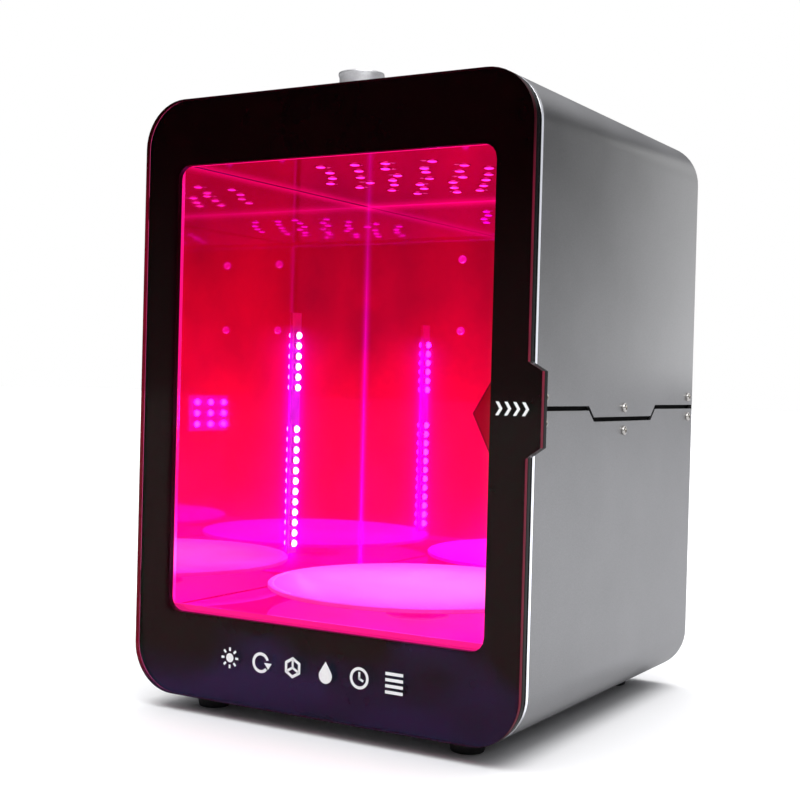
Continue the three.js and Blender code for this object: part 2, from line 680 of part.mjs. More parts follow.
function buildTurntable() {
  const { radius, top, thickness, y, hole } = TURNTABLE;
  const bottom = top - thickness;
  place('turntable_disc', ring(radius, hole, bottom, top, 48, 'z', [0, y, 0]), WHITE_DISC);

  const spigot = hole - GAP;
  const hub = [
    [0, HUB.bottom], [HUB.shaft, HUB.bottom], [HUB.shaft, HUB.collarBottom],
    [HUB.collar, HUB.collarBottom], [HUB.collar, HUB.flangeBottom],
    [HUB.flange, HUB.flangeBottom + HUB.slope], [HUB.flange, bottom - GAP],
    [spigot, bottom - GAP], [spigot, top - GAP], [0, top - GAP],
  ];
  place('turntable_hub', turned(hub, 14, 'z', [0, y, 0]), TURNED_ALUMINIUM);

  const shell = [
    [0, MOTOR.bottom], [MOTOR.radius, MOTOR.bottom], [MOTOR.radius, MOTOR.top - MOTOR.chamfer],
    [MOTOR.radius - MOTOR.chamfer, MOTOR.top], [MOTOR.neck, MOTOR.top],
    [MOTOR.neck, MOTOR.neckTop], [0, MOTOR.neckTop],
  ];
  const { halfX, halfY } = MOTOR_EARS;
  const ears = box(-halfX, halfX, y - halfY, y + halfY, MOTOR_EARS.bottom, MOTOR_EARS.top);
  place('gear_motor', join(turned(shell, 18, 'z', [0, y, 0]), ears), ZINC);

  const { top: plateTop, sheet, legX, footX, length } = MOTOR_BRACKET;
  const low = CASE.sheet + GAP;
  const right = [[footX, low], [footX, low + sheet], [legX, low + sheet], [legX, plateTop]];
  const inside = [[legX - sheet, plateTop - sheet], [legX - sheet, low]];
  const mirrored = (points) => points.map(([u, v]) => [-u, v]).reverse();
  const section = polygon([...right, ...mirrored(right), ...mirrored(inside), ...inside]);
  place('motor_bracket', frontSheet(section, y - length / 2, length), ZINC);
}

// ---------------------------------------------------------------- timer and electronics

function buildTimer() {
  const { y, bodyRadius, bodyBottom, bushingRadius, bushingTop } = TIMER;
  const shellInside = CASE.height - CASE.sheet - GAP;
  const unit = [
    [0, bodyBottom], [bodyRadius, bodyBottom], [bodyRadius, shellInside],
    [bushingRadius, shellInside], [bushingRadius, bushingTop], [0, bushingTop],
  ];
  place('timer_unit', turned(unit, 16, 'z', [0, y, 0]), BLACK_PLASTIC);

  const nutBottom = CASE.height + SCREW_SEAT;
  const nutTop = nutBottom + KNOB_NUT.height;
  const nut = rod(KNOB_NUT.radius, nutBottom, nutTop, 6, 'z', [0, y, 0]);
  const thread = rod(bushingRadius + GAP, nutBottom - PASS, nutTop + PASS, 16, 'z', [0, y, 0]);
  place('knob_nut', cut(nut, thread), ZINC);

  const { radius, rimRadius, bottom, top, hollow, hollowTop, shaft } = KNOB;
  const profile = [
    [0, bushingTop + GAP], [shaft, bushingTop + GAP], [shaft, hollowTop], [hollow, hollowTop],
    [hollow, bottom], [radius, bottom], [radius, top - 3], [rimRadius, top - 1.6],
    [rimRadius, top - 0.5], [rimRadius - 0.6, top], [0, top],
  ];
  place('timer_knob', turned(profile, 24, 'z', [0, y, 0]), TURNED_ALUMINIUM);
}

// The control board's node holds its standoffs and components too: they never come apart.
function buildElectronics() {
  const { front, thickness, halfWidth, bottom, top, standoff, blocks, capacitor } = CONTROL_BOARD;
  const board = [box(-halfWidth, halfWidth, front, front + thickness, bottom, top)];
  const backOfChamber = CHAMBER.back + CHAMBER.sheet + GAP;
  for (const x of standoff.x) {
    for (const z of standoff.z) {
      board.push(rod(standoff.radius, backOfChamber, front + LED.sunk, 8, 'y', [x, 0, z]));
    }
  }
  for (const { x, z, depth } of blocks) board.push(box(...x, front, front + depth, ...z));
  for (const x of capacitor.x) {
    board.push(rod(capacitor.radius, front, front + capacitor.depth, 12, 'y', [x, 0, capacitor.z]));
  }
  place('control_board', join(...board), GREEN_BOARD);
}

// ---------------------------------------------------------------- fan

function buildFan() {
  const { x, z, size, corner, front, depth, bore, hole } = FAN;
  const back = front + depth;
  const half = size / 2;
  const at = [x, 0, z];
  const square = roundedRect(x - half, x + half, z - half, z + half, corner);
  const tunnel = rod(bore, front - PASS, back + PASS, 20, 'y', at);
  const corners = fanScrewPlaces().map(([, cx, cz]) =>
    rod(hole, front - PASS, back + PASS, 6, 'y', [cx, 0, cz]));
  const shell = cut(frontSheet(square, front, depth, 1), tunnel, ...corners);
  const { cap, halfLength, halfWidth } = FAN_STRUTS;
  const strutFront = back - FAN_STRUTS.depth;
  const struts = [
    rod(cap, strutFront, back, 12, 'y', at),
    box(x - halfLength, x + halfLength, strutFront, back, z - halfWidth, z + halfWidth),
    box(x - halfWidth, x + halfWidth, strutFront, back, z - halfLength, z + halfLength),
  ];
  place('fan_housing', join(shell, ...struts), BLACK_PLASTIC);

  // Each blade is a flat slab that starts 1 mm inside the hub.
  const rotorFront = front + ROTOR.front;
  const rotorBack = strutFront - ROTOR.back;
  const rotor = [rod(ROTOR.hub, rotorFront, rotorBack, 14, 'y', at)];
  const root = ROTOR.hub - 1;
  const bladeLength = bore - ROTOR.tipGap - root;
  for (let i = 0; i < ROTOR.blades; i += 1) {
    const blade = new THREE.BoxGeometry(bladeLength, ROTOR.bladeWidth, ROTOR.bladeSheet);
    blade.rotateX(ROTOR.pitch);
    blade.translate(root + bladeLength / 2, (rotorFront + rotorBack) / 2, 0);
    blade.rotateY((i * 2 * Math.PI) / ROTOR.blades);
    blade.translate(x, 0, z);
    rotor.push(solid(blade));
  }
  place('fan_rotor', join(...rotor), BLACK_PLASTIC);

  for (const [name, cx, cz] of fanScrewPlaces()) {
    place(name, screw('y', -1, [cx, CHAMBER.back - SCREW_SEAT, cz]), NICKEL);
  }
}

buildDoor();
buildHinge('hinge_lower', HINGE.z[0]);
buildHinge('hinge_upper', HINGE.z[1]);
buildCase();
buildSideScrews();
buildChamber();
buildLedBoards();
buildTurntable();
buildTimer();
buildElectronics();
buildFan();

export default curingBox;
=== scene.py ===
"""Looks of a UV LED curing box: materials, detail pieces, studio and camera round its CAD frame."""

import json
import math
import random

import bpy
from mathutils import Matrix, Vector


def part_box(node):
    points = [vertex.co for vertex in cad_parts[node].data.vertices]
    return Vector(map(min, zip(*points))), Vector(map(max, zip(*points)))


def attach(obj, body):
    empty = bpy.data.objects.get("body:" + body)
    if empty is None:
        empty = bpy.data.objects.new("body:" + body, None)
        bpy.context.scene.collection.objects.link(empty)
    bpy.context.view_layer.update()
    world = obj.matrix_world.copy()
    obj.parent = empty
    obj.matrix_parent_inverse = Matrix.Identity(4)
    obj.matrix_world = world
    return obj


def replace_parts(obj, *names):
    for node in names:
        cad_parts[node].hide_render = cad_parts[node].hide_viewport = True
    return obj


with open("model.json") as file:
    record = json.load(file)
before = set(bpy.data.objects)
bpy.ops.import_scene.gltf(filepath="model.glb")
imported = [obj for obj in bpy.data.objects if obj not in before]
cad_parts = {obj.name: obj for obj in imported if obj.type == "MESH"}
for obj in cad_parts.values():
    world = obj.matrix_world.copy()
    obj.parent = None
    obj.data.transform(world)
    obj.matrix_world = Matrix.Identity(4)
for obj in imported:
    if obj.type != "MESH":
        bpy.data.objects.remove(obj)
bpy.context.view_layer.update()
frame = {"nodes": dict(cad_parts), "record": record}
nodes = frame["nodes"]
scene = bpy.context.scene
MM = 0.001

# ------------------------------------------------------------------ places taken from the frame

CASE_LOW, CASE_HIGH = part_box("front_frame")
CASE_HEIGHT = CASE_HIGH.z - CASE_LOW.z
CORNER_RADIUS = 28 * MM
FRONT_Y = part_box("door_panel")[0].y
SHELL_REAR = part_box("upper_shell")[1].y
PANEL_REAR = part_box("rear_panel")[1].y
DISC_LOW, DISC_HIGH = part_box("turntable_disc")
DISC_RADIUS = (DISC_HIGH.x - DISC_LOW.x) / 2
DISC_CENTRE = (DISC_LOW + DISC_HIGH) / 2
STRIP_LOW, STRIP_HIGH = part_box("led_strip_left")
STRIP_Y = (STRIP_LOW.y + STRIP_HIGH.y) / 2
LEDS_LOW, LEDS_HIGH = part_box("led_panel_right")
KNOB_LOW, KNOB_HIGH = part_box("timer_knob")
CHAMBER_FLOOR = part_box("floor_mirror")[1].z
CHAMBER_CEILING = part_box("ceiling_mirror")[0].z
CHAMBER_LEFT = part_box("left_mirror")[1].x
CHAMBER_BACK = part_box("back_mirror")[0].y


def opening(half_width, low, high):
    """An opening centred on the front. All lengths are in mm, and heights start at the case's lower edge."""
    return {"half_width": half_width * MM, "low": low * MM + CASE_LOW.z, "high": high * MM + CASE_LOW.z}


WINDOW = opening(105, 48.5, 311.5)
FRAME_OPENING = opening(106.5, 52, 312)


def middle(node):
    low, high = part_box(node)
    return (low + high) / 2


# ------------------------------------------------------------------ material kit


class Nodes:
    """A node tree, with short calls for the nodes used here."""

    def __init__(self, tree):
        self.tree = tree

    def add(self, kind, *links, **settings):
        node = self.tree.nodes.new(kind)
        for key, value in settings.items():
            setattr(node, key, value)
        for socket, value in links:
            self.feed(node.inputs[socket], value)
        return node

    def feed(self, target, value):
        """Links a socket to another one's value, or sets it to a plain value."""
        if isinstance(value, bpy.types.NodeSocket):
            self.tree.links.new(value, target)
        else:
            target.default_value = value

    def math(self, operation, a, b=0.0, clamp=False):
        node = self.add("ShaderNodeMath", (0, a), (1, b), operation=operation, use_clamp=clamp)
        return node.outputs[0]

    def times(self, first, *others):
        for other in others:
            first = self.math("MULTIPLY", first, other)
        return first

    def ramp(self, factor, stops):
        node = self.add("ShaderNodeValToRGB", ("Fac", factor))
        elements = node.color_ramp.elements
        while len(elements) < len(stops):
            elements.new(0.5)
        for element, (position, colour) in zip(elements, stops):
            element.position = position
            element.color = (*colour, 1.0)
        return node.outputs["Color"]

    def span(self, value, low, high, out_low, out_high, kind="LINEAR"):
        source = (("Value", value), ("From Min", low), ("From Max", high))
        target = (("To Min", out_low), ("To Max", out_high))
        return self.add("ShaderNodeMapRange", *source, *target, interpolation_type=kind).outputs["Result"]

    def bump(self, height, strength, distance):
        links = (("Height", height), ("Strength", strength), ("Distance", distance))
        return self.add("ShaderNodeBump", *links).outputs["Normal"]


class Surface(Nodes):
    """A material's nodes: its shader, its output, and object coordinates."""

    def __init__(self, name):
        self.material = bpy.data.materials.new(name)
        self.material.use_nodes = True
        super().__init__(self.material.node_tree)
        self.bsdf = self.tree.nodes["Principled BSDF"]
        self.output = self.tree.nodes["Material Output"]
        self.coords = self.add("ShaderNodeTexCoord").outputs["Object"]

    def set(self, **values):
        for key, value in values.items():
            self.feed(self.bsdf.inputs[key.replace("_", " ")], value)

    def show(self, shader):
        self.feed(self.output.inputs["Surface"], shader)

    def place(self):
        return self.add("ShaderNodeSeparateXYZ", (0, self.coords)).outputs

    def noise(self, scale, detail=3.0, stretch=(1, 1, 1), roughness=0.5):
        mapping = self.add("ShaderNodeMapping", ("Vector", self.coords), ("Scale", stretch))
        texture = self.add(
            "ShaderNodeTexNoise",
            ("Vector", mapping.outputs[0]),
            ("Scale", scale),
            ("Detail", detail),
            ("Roughness", roughness),
        )
        return texture.outputs["Fac"]


def shade(colour, factor):
    return tuple(min(1.0, c * factor) for c in colour)


def grained(name, colour, metallic, roughness, grain=900, stretch=(1, 1, 1), vary=0.15, bump=0.1,
            depth=0.05):
    """A surface with fine grain: colour, roughness and height all vary a little at the grain's scale."""
    n = Surface(name)
    fine = n.noise(grain, 4.0, stretch)
    broad = n.noise(18, 2.0)
    mixed = n.math("ADD", n.times(fine, 0.65), n.times(broad, 0.35))
    less, more = 1 - vary, 1 + vary
    n.set(Base_Color=n.ramp(mixed, [(0.3, shade(colour, less)), (0.7, shade(colour, more))]))
    n.set(Roughness=n.span(mixed, 0.3, 0.7, roughness * less, roughness * more))
    n.set(Normal=n.bump(fine, bump, depth * MM))
    n.set(Metallic=metallic)
    return n


TURNING_FEED = 0.45 * MM


def turned_aluminium():
    """Lathe-turned metal: fine rings round the knob's axis."""
    n = Surface("turned_aluminium")
    to_axis = tuple(-middle("timer_knob"))
    centred = n.add("ShaderNodeVectorMath", (0, n.coords), (1, to_axis), operation="ADD")
    split = n.add("ShaderNodeSeparateXYZ", (0, centred.outputs[0]))
    x2 = n.times(split.outputs[0], split.outputs[0])
    y2 = n.times(split.outputs[1], split.outputs[1])
    radius = n.math("SQRT", n.math("ADD", x2, y2))
    along = n.math("ADD", radius, split.outputs[2])
    rings = n.math("SINE", n.times(along, 2 * math.pi / TURNING_FEED))
    fine = n.noise(700, 3.0)
    height = n.math("ADD", n.times(rings, 0.5), fine)
    tone = n.ramp(fine, [(0.3, (0.84, 0.84, 0.85)), (0.7, (0.92, 0.92, 0.93))])
    n.set(Base_Color=tone)
    n.set(Roughness=n.span(height, -0.2, 1.2, 0.32, 0.44))
    n.set(Normal=n.bump(height, 0.25, 0.02 * MM))
    n.set(Metallic=0.8)
    return n.material


def bell(n, value, centre, width):
    """A smooth hump of height 1 at centre, falling off over width."""
    offset = n.math("DIVIDE", n.math("SUBTRACT", value, centre), width)
    return n.math("EXPONENT", n.times(offset, offset, -1.0))


def between(n, value, low, high, soft):
    """1 from low to high and 0 outside, with soft steps."""
    rise = n.math("DIVIDE", n.math("SUBTRACT", value, low - soft), 2 * soft, clamp=True)
    fall = n.math("DIVIDE", n.math("SUBTRACT", high + soft, value), 2 * soft, clamp=True)
    return n.times(rise, fall)


def own_normal(n):
    """The surface normal in the piece's own axes, which stays the same when a joint turns the piece."""
    return n.add("ShaderNodeSeparateXYZ", (0, n.add("ShaderNodeTexCoord").outputs["Normal"])).outputs


def facing_side(n, low, high):
    """1 on faces that look along X or Z, and 0 on faces that look along Y."""
    return n.span(n.math("ABSOLUTE", own_normal(n)[1]), low, high, 1.0, 0.0)


def window_mask(n, place):
    """1 where a point lies over the door's window, and 0 over its black border."""
    across = between(n, place[0], -WINDOW["half_width"], WINDOW["half_width"], 2 * MM)
    upright = between(n, place[2], WINDOW["low"], WINDOW["high"], 2 * MM)
    return n.times(across, upright)


def acrylic_sheet(name, face_tint, painted_reflection, edge_colour, edge_glow):
    """Clear tinted sheet: light passes with the tint, the gloss reflects, and the cut edges glow.
    Light crosses two faces, so the tint acts twice. The edges glow on the straight sides only.
    The third argument is a painted reflection tint: the gloss's colour higher up, and its colour near the
    bottom edge. Over the window this painted reflection is weaker."""
    n = Surface(name)
    n.tree.nodes.remove(n.bsdf)
    place = n.place()
    smear = n.noise(9, 3.0)
    tint = n.ramp(smear, [(0.35, shade(face_tint, 0.985)), (0.65, face_tint)])
    clear = n.add("ShaderNodeBsdfTransparent", ("Color", tint))

    # Painted reflection: the gloss is tinted by height, with a wandering band near the bottom edge, and
    # weaker over the window.
    upper, lower = painted_reflection
    wander = n.span(n.noise(13, 2.0, (1, 1, 2)), 0.35, 0.65, -24 * MM, 24 * MM)
    level = n.math("ADD", place[2], wander)
    height = n.span(level, CASE_LOW.z + 8 * MM, CASE_LOW.z + 52 * MM, 0.0, 1.0)
    painted_reflection_colour = n.ramp(height, [(0.0, lower), (1.0, upper)])
    fading = n.span(window_mask(n, place), 0.0, 1.0, 1.0, 0.3)
    shown = n.add("ShaderNodeVectorMath", (0, painted_reflection_colour), ("Scale", fading), operation="SCALE")
    polish_roughness = n.span(smear, 0.3, 0.7, 0.06, 0.12)
    gloss = n.add("ShaderNodeBsdfGlossy", ("Color", shown.outputs[0]), ("Roughness", polish_roughness))

    # The reflected share rises towards grazing angles, and is the same on the outer and inner face.
    grazing = n.add("ShaderNodeLayerWeight", ("Blend", 0.5)).outputs["Facing"]
    share = n.math("ADD", n.times(n.math("POWER", grazing, 5.0), 0.9), 0.06)
    face = n.add("ShaderNodeMixShader", (0, share), (1, clear.outputs[0]), (2, gloss.outputs[0]))

    edge_base = (*shade(edge_colour, 0.03), 1)
    edge = n.add("ShaderNodeBsdfPrincipled", ("Base Color", edge_base), ("Roughness", 0.25))
    edge.inputs["Specular IOR Level"].default_value = 0.08
    streaks = n.noise(60, 2.0)
    glow = n.ramp(streaks, [(0.3, shade(edge_colour, 0.6)), (0.7, edge_colour)])
    n.feed(edge.inputs["Emission Color"], glow)
    sideways = n.math("ABSOLUTE", own_normal(n)[0])
    straight = n.span(sideways, 0.6, 1.0, 0.04 * edge_glow, edge_glow)
    fade_low, fade_high = CASE_HIGH.z - 2.5 * CORNER_RADIUS, CASE_HIGH.z - CORNER_RADIUS
    fade = n.span(place[2], fade_low, fade_high, 1.0, 0.1)
    n.feed(edge.inputs["Emission Strength"], n.times(straight, fade))

    cut = facing_side(n, 0.94, 0.995)
    mix = n.add("ShaderNodeMixShader", (0, cut), (1, face.outputs[0]), (2, edge.outputs[0]))
    n.show(mix.outputs[0])
    return n.material


def dull(name, specular, colour, roughness, **grain):
    """Grained black that reflects less than bare plastic does."""
    n = grained(name, colour, 0.0, roughness, **grain)
    n.set(Specular_IOR_Level=specular)
    return n.material


def polished_frame():
    """The front frame: bright metal, with a painted white sheen along its straight sides, and painted pink
    light round its opening.
    """
    n = grained("polished_steel", (0.86, 0.87, 0.9), 1.0, 0.16, grain=500, stretch=(1, 1, 0.05),
                vary=0.06, bump=0.05)
    normal = own_normal(n)
    place = n.place()
    beyond_side = n.math("SUBTRACT", n.math("ABSOLUTE", place[0]), FRAME_OPENING["half_width"])
    below = n.math("SUBTRACT", FRAME_OPENING["low"], place[2])
    above = n.math("SUBTRACT", place[2], FRAME_OPENING["high"])
    outside = n.math("MAXIMUM", beyond_side, n.math("MAXIMUM", below, above))

    # Painted sheen: a white glow on the straight sides, away from the opening and weaker higher up, standing
    # in for a bright reflection.
    side = n.span(n.math("ABSOLUTE", normal[0]), 0.9, 1.0, 0.0, 0.8)
    away = n.span(outside, 9 * MM, 12 * MM, 0.0, 1.0)
    lower = n.span(place[2], CASE_LOW.z + 130 * MM, CASE_LOW.z + 200 * MM, 1.0, 0.8)
    painted_sheen = n.add("ShaderNodeVectorMath", (0, (0.9, 0.92, 1.0)), operation="SCALE")
    n.feed(painted_sheen.inputs["Scale"], n.times(side, away, lower))

    # Painted pink light on the faces round the opening.
    outward = n.span(normal[1], 0.3, 0.8, 1.0, 0.0)
    spill = n.times(n.span(outside, 4 * MM, 9 * MM, 1.0, 0.0), outward)
    pink = n.add("ShaderNodeVectorMath", (0, (0.95, 0.1, 0.75)), operation="SCALE")
    n.feed(pink.inputs["Scale"], spill)
    both = n.add("ShaderNodeVectorMath", (0, painted_sheen.outputs[0]), (1, pink.outputs[0]), operation="ADD")
    n.set(Emission_Color=both.outputs[0], Emission_Strength=1.0)
    return n.material


# ------------------------------------------------------------------ light inside the chamber

RED_TINT = (0.985, 0.28, 0.56)
HAZE_STOPS = [
    (0.00, (1.00, 0.000, 0.50)),
    (0.16, (1.00, 0.000, 0.17)),
    (0.45, (0.66, 0.000, 0.055)),
    (0.70, (0.36, 0.000, 0.020)),
    (1.00, (0.15, 0.000, 0.012)),
]


def add_light_on(n, emission, factor, colour):
    """Adds light of one colour, as strong as factor, to an emission colour."""
    part = n.add("ShaderNodeVectorMath", (0, colour), operation="SCALE")
    n.feed(part.inputs["Scale"], factor)
    return n.add("ShaderNodeVectorMath", (0, emission), (1, part.outputs[0]), operation="ADD").outputs[0]


def strip_glow(n, place):
    """1 along the lit length of the LED strip and 0 elsewhere, with soft ends."""
    return between(n, place[2], STRIP_LOW.z - 4 * MM, STRIP_HIGH.z - 16 * MM, 8 * MM)


def toward_chamber(n, place):
    """1 on the sheets' faces that look into the chamber, and nearly 0 on their backs."""
    beside = n.math("ADD", n.math("ABSOLUTE", place[0]), CHAMBER_LEFT)
    behind = n.math("SUBTRACT", place[1], CHAMBER_BACK)
    below = n.math("SUBTRACT", CHAMBER_FLOOR, place[2])
    above = n.math("SUBTRACT", place[2], CHAMBER_CEILING)
    outside = n.math("MAXIMUM", n.math("MAXIMUM", beside, behind), n.math("MAXIMUM", below, above))
    return n.span(outside, 0.4 * MM, 1.0 * MM, 1.0, 0.04)


def mirror_wall(name, level=1.0, strip=False, corner=None, rim=None, reflect=(0.55, 0.3, 0.6)):
    """Mirror sheet with the chamber's light lying on it as a haze, redder and darker towards the top.
    corner and rim each name an axis and a place on it where light collects along the sheet's edge."""
    n = Surface(name)
    place = n.place()
    height = n.span(place[2], CHAMBER_FLOOR, CHAMBER_CEILING, 0.0, 1.0)
    # Painted light: broad patches and a fine grain vary the strength of the haze.
    clouds = n.span(n.noise(11, 3.0), 0.3, 0.7, 0.5, 1.45)
    glow_grain = n.span(n.noise(300, 3.0), 0.3, 0.7, 0.93, 1.07)
    strength = n.times(clouds, glow_grain, level)
    haze = n.ramp(height, HAZE_STOPS)
    emission = n.add("ShaderNodeVectorMath", (0, haze), ("Scale", strength), operation="SCALE").outputs[0]
    if strip:
        inside = strip_glow(n, place)
        for width, colour in ((9 * MM, (0.9, 0.0, 2.6)), (26 * MM, (0.25, 0.0, 0.42))):
            hump = n.times(bell(n, place[1], STRIP_Y, width), inside)
            emission = add_light_on(n, emission, hump, colour)
    if corner:
        axis, where = corner
        low = n.span(height, 0.0, 0.9, 1.0, 0.2)
        hump = n.times(bell(n, place[axis], where, 2.8 * MM), low)
        emission = add_light_on(n, emission, hump, (0.6, 0.0, 1.3))
    if rim:
        axis, where = rim
        hump = bell(n, place[axis], where, 2.6 * MM)
        emission = add_light_on(n, emission, hump, (0.55, 0.01, 0.34))
    n.set(Emission_Color=emission, Emission_Strength=toward_chamber(n, place))
    n.set(Metallic=1.0, Base_Color=(*reflect, 1.0))
    n.set(Roughness=n.span(n.noise(25, 3.0), 0.3, 0.7, 0.02, 0.05))
    n.set(Normal=n.bump(n.noise(6, 1.0), 0.1, 1.0 * MM))
    return n.material


def lit_board(name, level=1.0):
    """An LED strip's or panel's white board, flooded by its own LEDs."""
    n = Surface(name)
    place = n.place()
    patches = n.span(n.noise(120, 2.0), 0.3, 0.7, 0.8, 1.2)
    n.set(Emission_Strength=n.times(patches, 2.6 * level))
    glow = n.ramp(strip_glow(n, place), [(0.0, (0.2, 0.0, 0.04)), (1.0, (0.22, 0.03, 1.0))])
    n.set(Emission_Color=glow)
    board = n.ramp(patches, [(0.0, (0.2, 0.04, 0.16)), (1.0, (0.28, 0.06, 0.2))])
    n.set(Base_Color=board, Roughness=0.4)
    return n.material


def lit_disc():
    """White acrylic flooded by the LEDs: nearly even on top, dimmer at the rim and below."""
    n = Surface("white_disc")
    centred = n.add("ShaderNodeVectorMath", (0, n.coords), (1, tuple(-DISC_CENTRE)), operation="ADD")
    length = n.add("ShaderNodeVectorMath", (0, centred.outputs[0]), operation="LENGTH").outputs["Value"]
    share = n.math("DIVIDE", length, DISC_RADIUS)
    mottle = n.span(n.noise(14, 4.0), 0.3, 0.7, 0.85, 1.15)
    # Streaks along Y vary the strength of the painted glow.
    glow_streaks = n.span(n.noise(70, 5.0, (1, 6, 1)), 0.35, 0.7, 0.86, 1.14)
    glow = n.ramp(share, [(0.0, (0.6, 0.98, 1.0)), (0.6, (0.55, 0.75, 1.0)), (1.0, (0.45, 0.3, 1.0))])
    n.set(Emission_Color=glow)
    top = n.span(own_normal(n)[2], -0.2, 0.9, 0.6, 3.4)
    strength = n.times(mottle, glow_streaks, top)
    n.set(Emission_Strength=strength)
    white = n.ramp(mottle, [(0.0, (0.8, 0.78, 0.8)), (1.0, (0.9, 0.88, 0.9))])
    n.set(Base_Color=white, Roughness=0.35)
    return n.material


NICKEL = dict(colour=(0.62, 0.6, 0.57), metallic=1.0, roughness=0.2, grain=700, vary=0.08, bump=0.05)


def lit_metal():
    """Screws inside the chamber: nickel with the LEDs' light on it."""
    n = grained("lit_nickel", **NICKEL)
    n.set(Emission_Color=(0.8, 0.02, 1.0, 1.0), Emission_Strength=1.1)
    return n.material


def glowing(name, colour, strength, spread=0.25):
    """A lit LED lens, a little uneven."""
    n = Surface(name)
    variation = n.span(n.noise(90, 1.0), 0.3, 0.7, 1 - spread, 1 + spread)
    n.set(Emission_Strength=n.times(variation, strength))
    n.set(Emission_Color=n.ramp(variation, [(0.0, shade(colour, 0.8)), (1.0, colour)]))
    n.set(Base_Color=(0.8, 0.7, 0.9, 1.0), Roughness=0.2)
    return n.material


# ------------------------------------------------------------------ all materials

# Each row: colour, metallic, roughness, and the grain that differs from the usual one.
GRAINED = {
    "satin_aluminium": ((0.41, 0.412, 0.42), 1.0, 0.33, {"grain": 1500, "bump": 0.35, "depth": 0.03}),
    "foam": ((0.02, 0.02, 0.021), 0.0, 0.95, {"grain": 1600, "vary": 0.4, "bump": 0.9, "depth": 0.3}),
    "black_steel": ((0.014, 0.014, 0.015), 0.2, 0.5, {"grain": 1800, "bump": 0.4}),
    "zinc_steel": ((0.5, 0.5, 0.5), 1.0, 0.34, {"grain": 500, "vary": 0.16, "bump": 0.12}),
    "rubber": ((0.012, 0.012, 0.013), 0.0, 0.75, {"grain": 1200, "vary": 0.3, "bump": 0.5, "depth": 0.08}),
    "black_plastic": ((0.018, 0.018, 0.019), 0.0, 0.45, {"grain": 2200, "bump": 0.4}),
    "led_board": ((0.7, 0.68, 0.72), 0.0, 0.45, {"grain": 400, "vary": 0.08}),
    "green_board": ((0.02, 0.13, 0.05), 0.0, 0.35, {"grain": 260, "vary": 0.3, "bump": 0.3}),
    "brass": ((0.8, 0.6, 0.25), 1.0, 0.25, {"grain": 600, "vary": 0.1}),
    "white_print": ((0.9, 0.9, 0.9), 0.0, 0.4, {"vary": 0.04, "bump": 0.05}),
}
# Painted reflection tints for the door sheets' gloss: the colour higher up, and the colour near the bottom
# edge.
RED_PAINTED_REFLECTION = ((0.11, 0.22, 0.16), (0.26, 0.34, 0.85))
PULL_TINT = (0.6, 0.4, 0.45)
PULL_PAINTED_REFLECTION = ((0.3, 0.1, 0.2), (0.3, 0.1, 0.2))
SHEET_BLACK = dict(colour=(0.004, 0.0035, 0.004), roughness=0.2, grain=40, vary=0.2, bump=0.02, depth=0.02)
# Painted shade: the seam rails and plugs are black parts made darker and less glossy than black plastic,
# standing in for the shade in the seam's narrow groove.
GAP_SHADE_BLACK = dict(colour=(0.003, 0.003, 0.003), roughness=0.8, bump=0.3)
TOP_EDGE = (2, CHAMBER_CEILING)
LEFT_LIGHT = dict(strip=True, corner=(1, CHAMBER_BACK), rim=TOP_EDGE)
BACK_LIGHT = dict(level=1.15, corner=(0, CHAMBER_LEFT), rim=TOP_EDGE, reflect=(0.6, 0.04, 1.0))
CEILING_LIGHT = dict(level=0.45, rim=(1, CHAMBER_BACK))


def build_materials():
    """Materials by slot, by CAD node where a node differs from its slot, and by use for added detail."""
    made = {name: grained(name, *basic, **grain).material for name, (*basic, grain) in GRAINED.items()}
    made["red_acrylic"] = acrylic_sheet("red_acrylic", RED_TINT, RED_PAINTED_REFLECTION, (0.6, 0.01, 0.08), 0.3)
    made["tinted_acrylic"] = acrylic_sheet("tinted_acrylic", PULL_TINT, PULL_PAINTED_REFLECTION, (0.9, 0.1, 0.3), 0.9)
    made["black_acrylic"] = dull("black_acrylic", 0.12, **SHEET_BLACK)
    made["polished_steel"] = polished_frame()
    made["turned_aluminium"] = turned_aluminium()
    made["nickel_steel"] = grained("nickel_steel", **NICKEL).material
    made["white_disc"] = lit_disc()
    made["mirror_sheet"] = mirror_wall("mirror_sheet")
    made["left_mirror"] = mirror_wall("mirror_left", **LEFT_LIGHT)
    made["back_mirror"] = mirror_wall("mirror_back", **BACK_LIGHT)
    made["floor_mirror"] = mirror_wall("mirror_floor", reflect=(0.4, 0.05, 0.7))
    made["ceiling_mirror"] = mirror_wall("mirror_ceiling", **CEILING_LIGHT)
    made["led_panel_right"] = lit_board("panel_board", 0.45)
    made["led_strip_left"] = lit_board("strip_board")
    # The seam rails take the painted-shade black.
    made["seam_rail_left"] = made["seam_rail_right"] = dull("black_gap_shade", 0.05, **GAP_SHADE_BLACK)
    made["lit_nickel"] = lit_metal()
    made["led_bright"] = glowing("led_bright", (0.75, 1.0, 0.85), 36.0)
    made["led_panel"] = glowing("led_panel", (0.5, 1.0, 0.6), 150.0)
    made["led_soft"] = glowing("led_soft", (1.0, 0.13, 1.0), 3.3, 0.35)
    return made


MATERIALS = build_materials()
SLOT_OF = {row["node"]: row["material_slot"] for row in frame["record"]["subparts"]}
# Sheets with many openings: bevelling them would leave creases across the flat face.
FLAT_SHEETS = {"rear_panel"}


def soften(obj, width, angle=35):
    """Small bevels on the sharp edges, and smooth shading between them."""
    for polygon in obj.data.polygons:
        polygon.use_smooth = True
    weld = obj.modifiers.new("weld", "WELD")
    weld.merge_threshold = 0.001 * MM
    bevel = obj.modifiers.new("bevel", "BEVEL")
    bevel.width = width
    bevel.segments = 2
    bevel.limit_method = "ANGLE"
    bevel.angle_limit = math.radians(angle)
    bevel.use_clamp_overlap = True
    normals = obj.modifiers.new("normals", "WEIGHTED_NORMAL")
    normals.keep_sharp = True


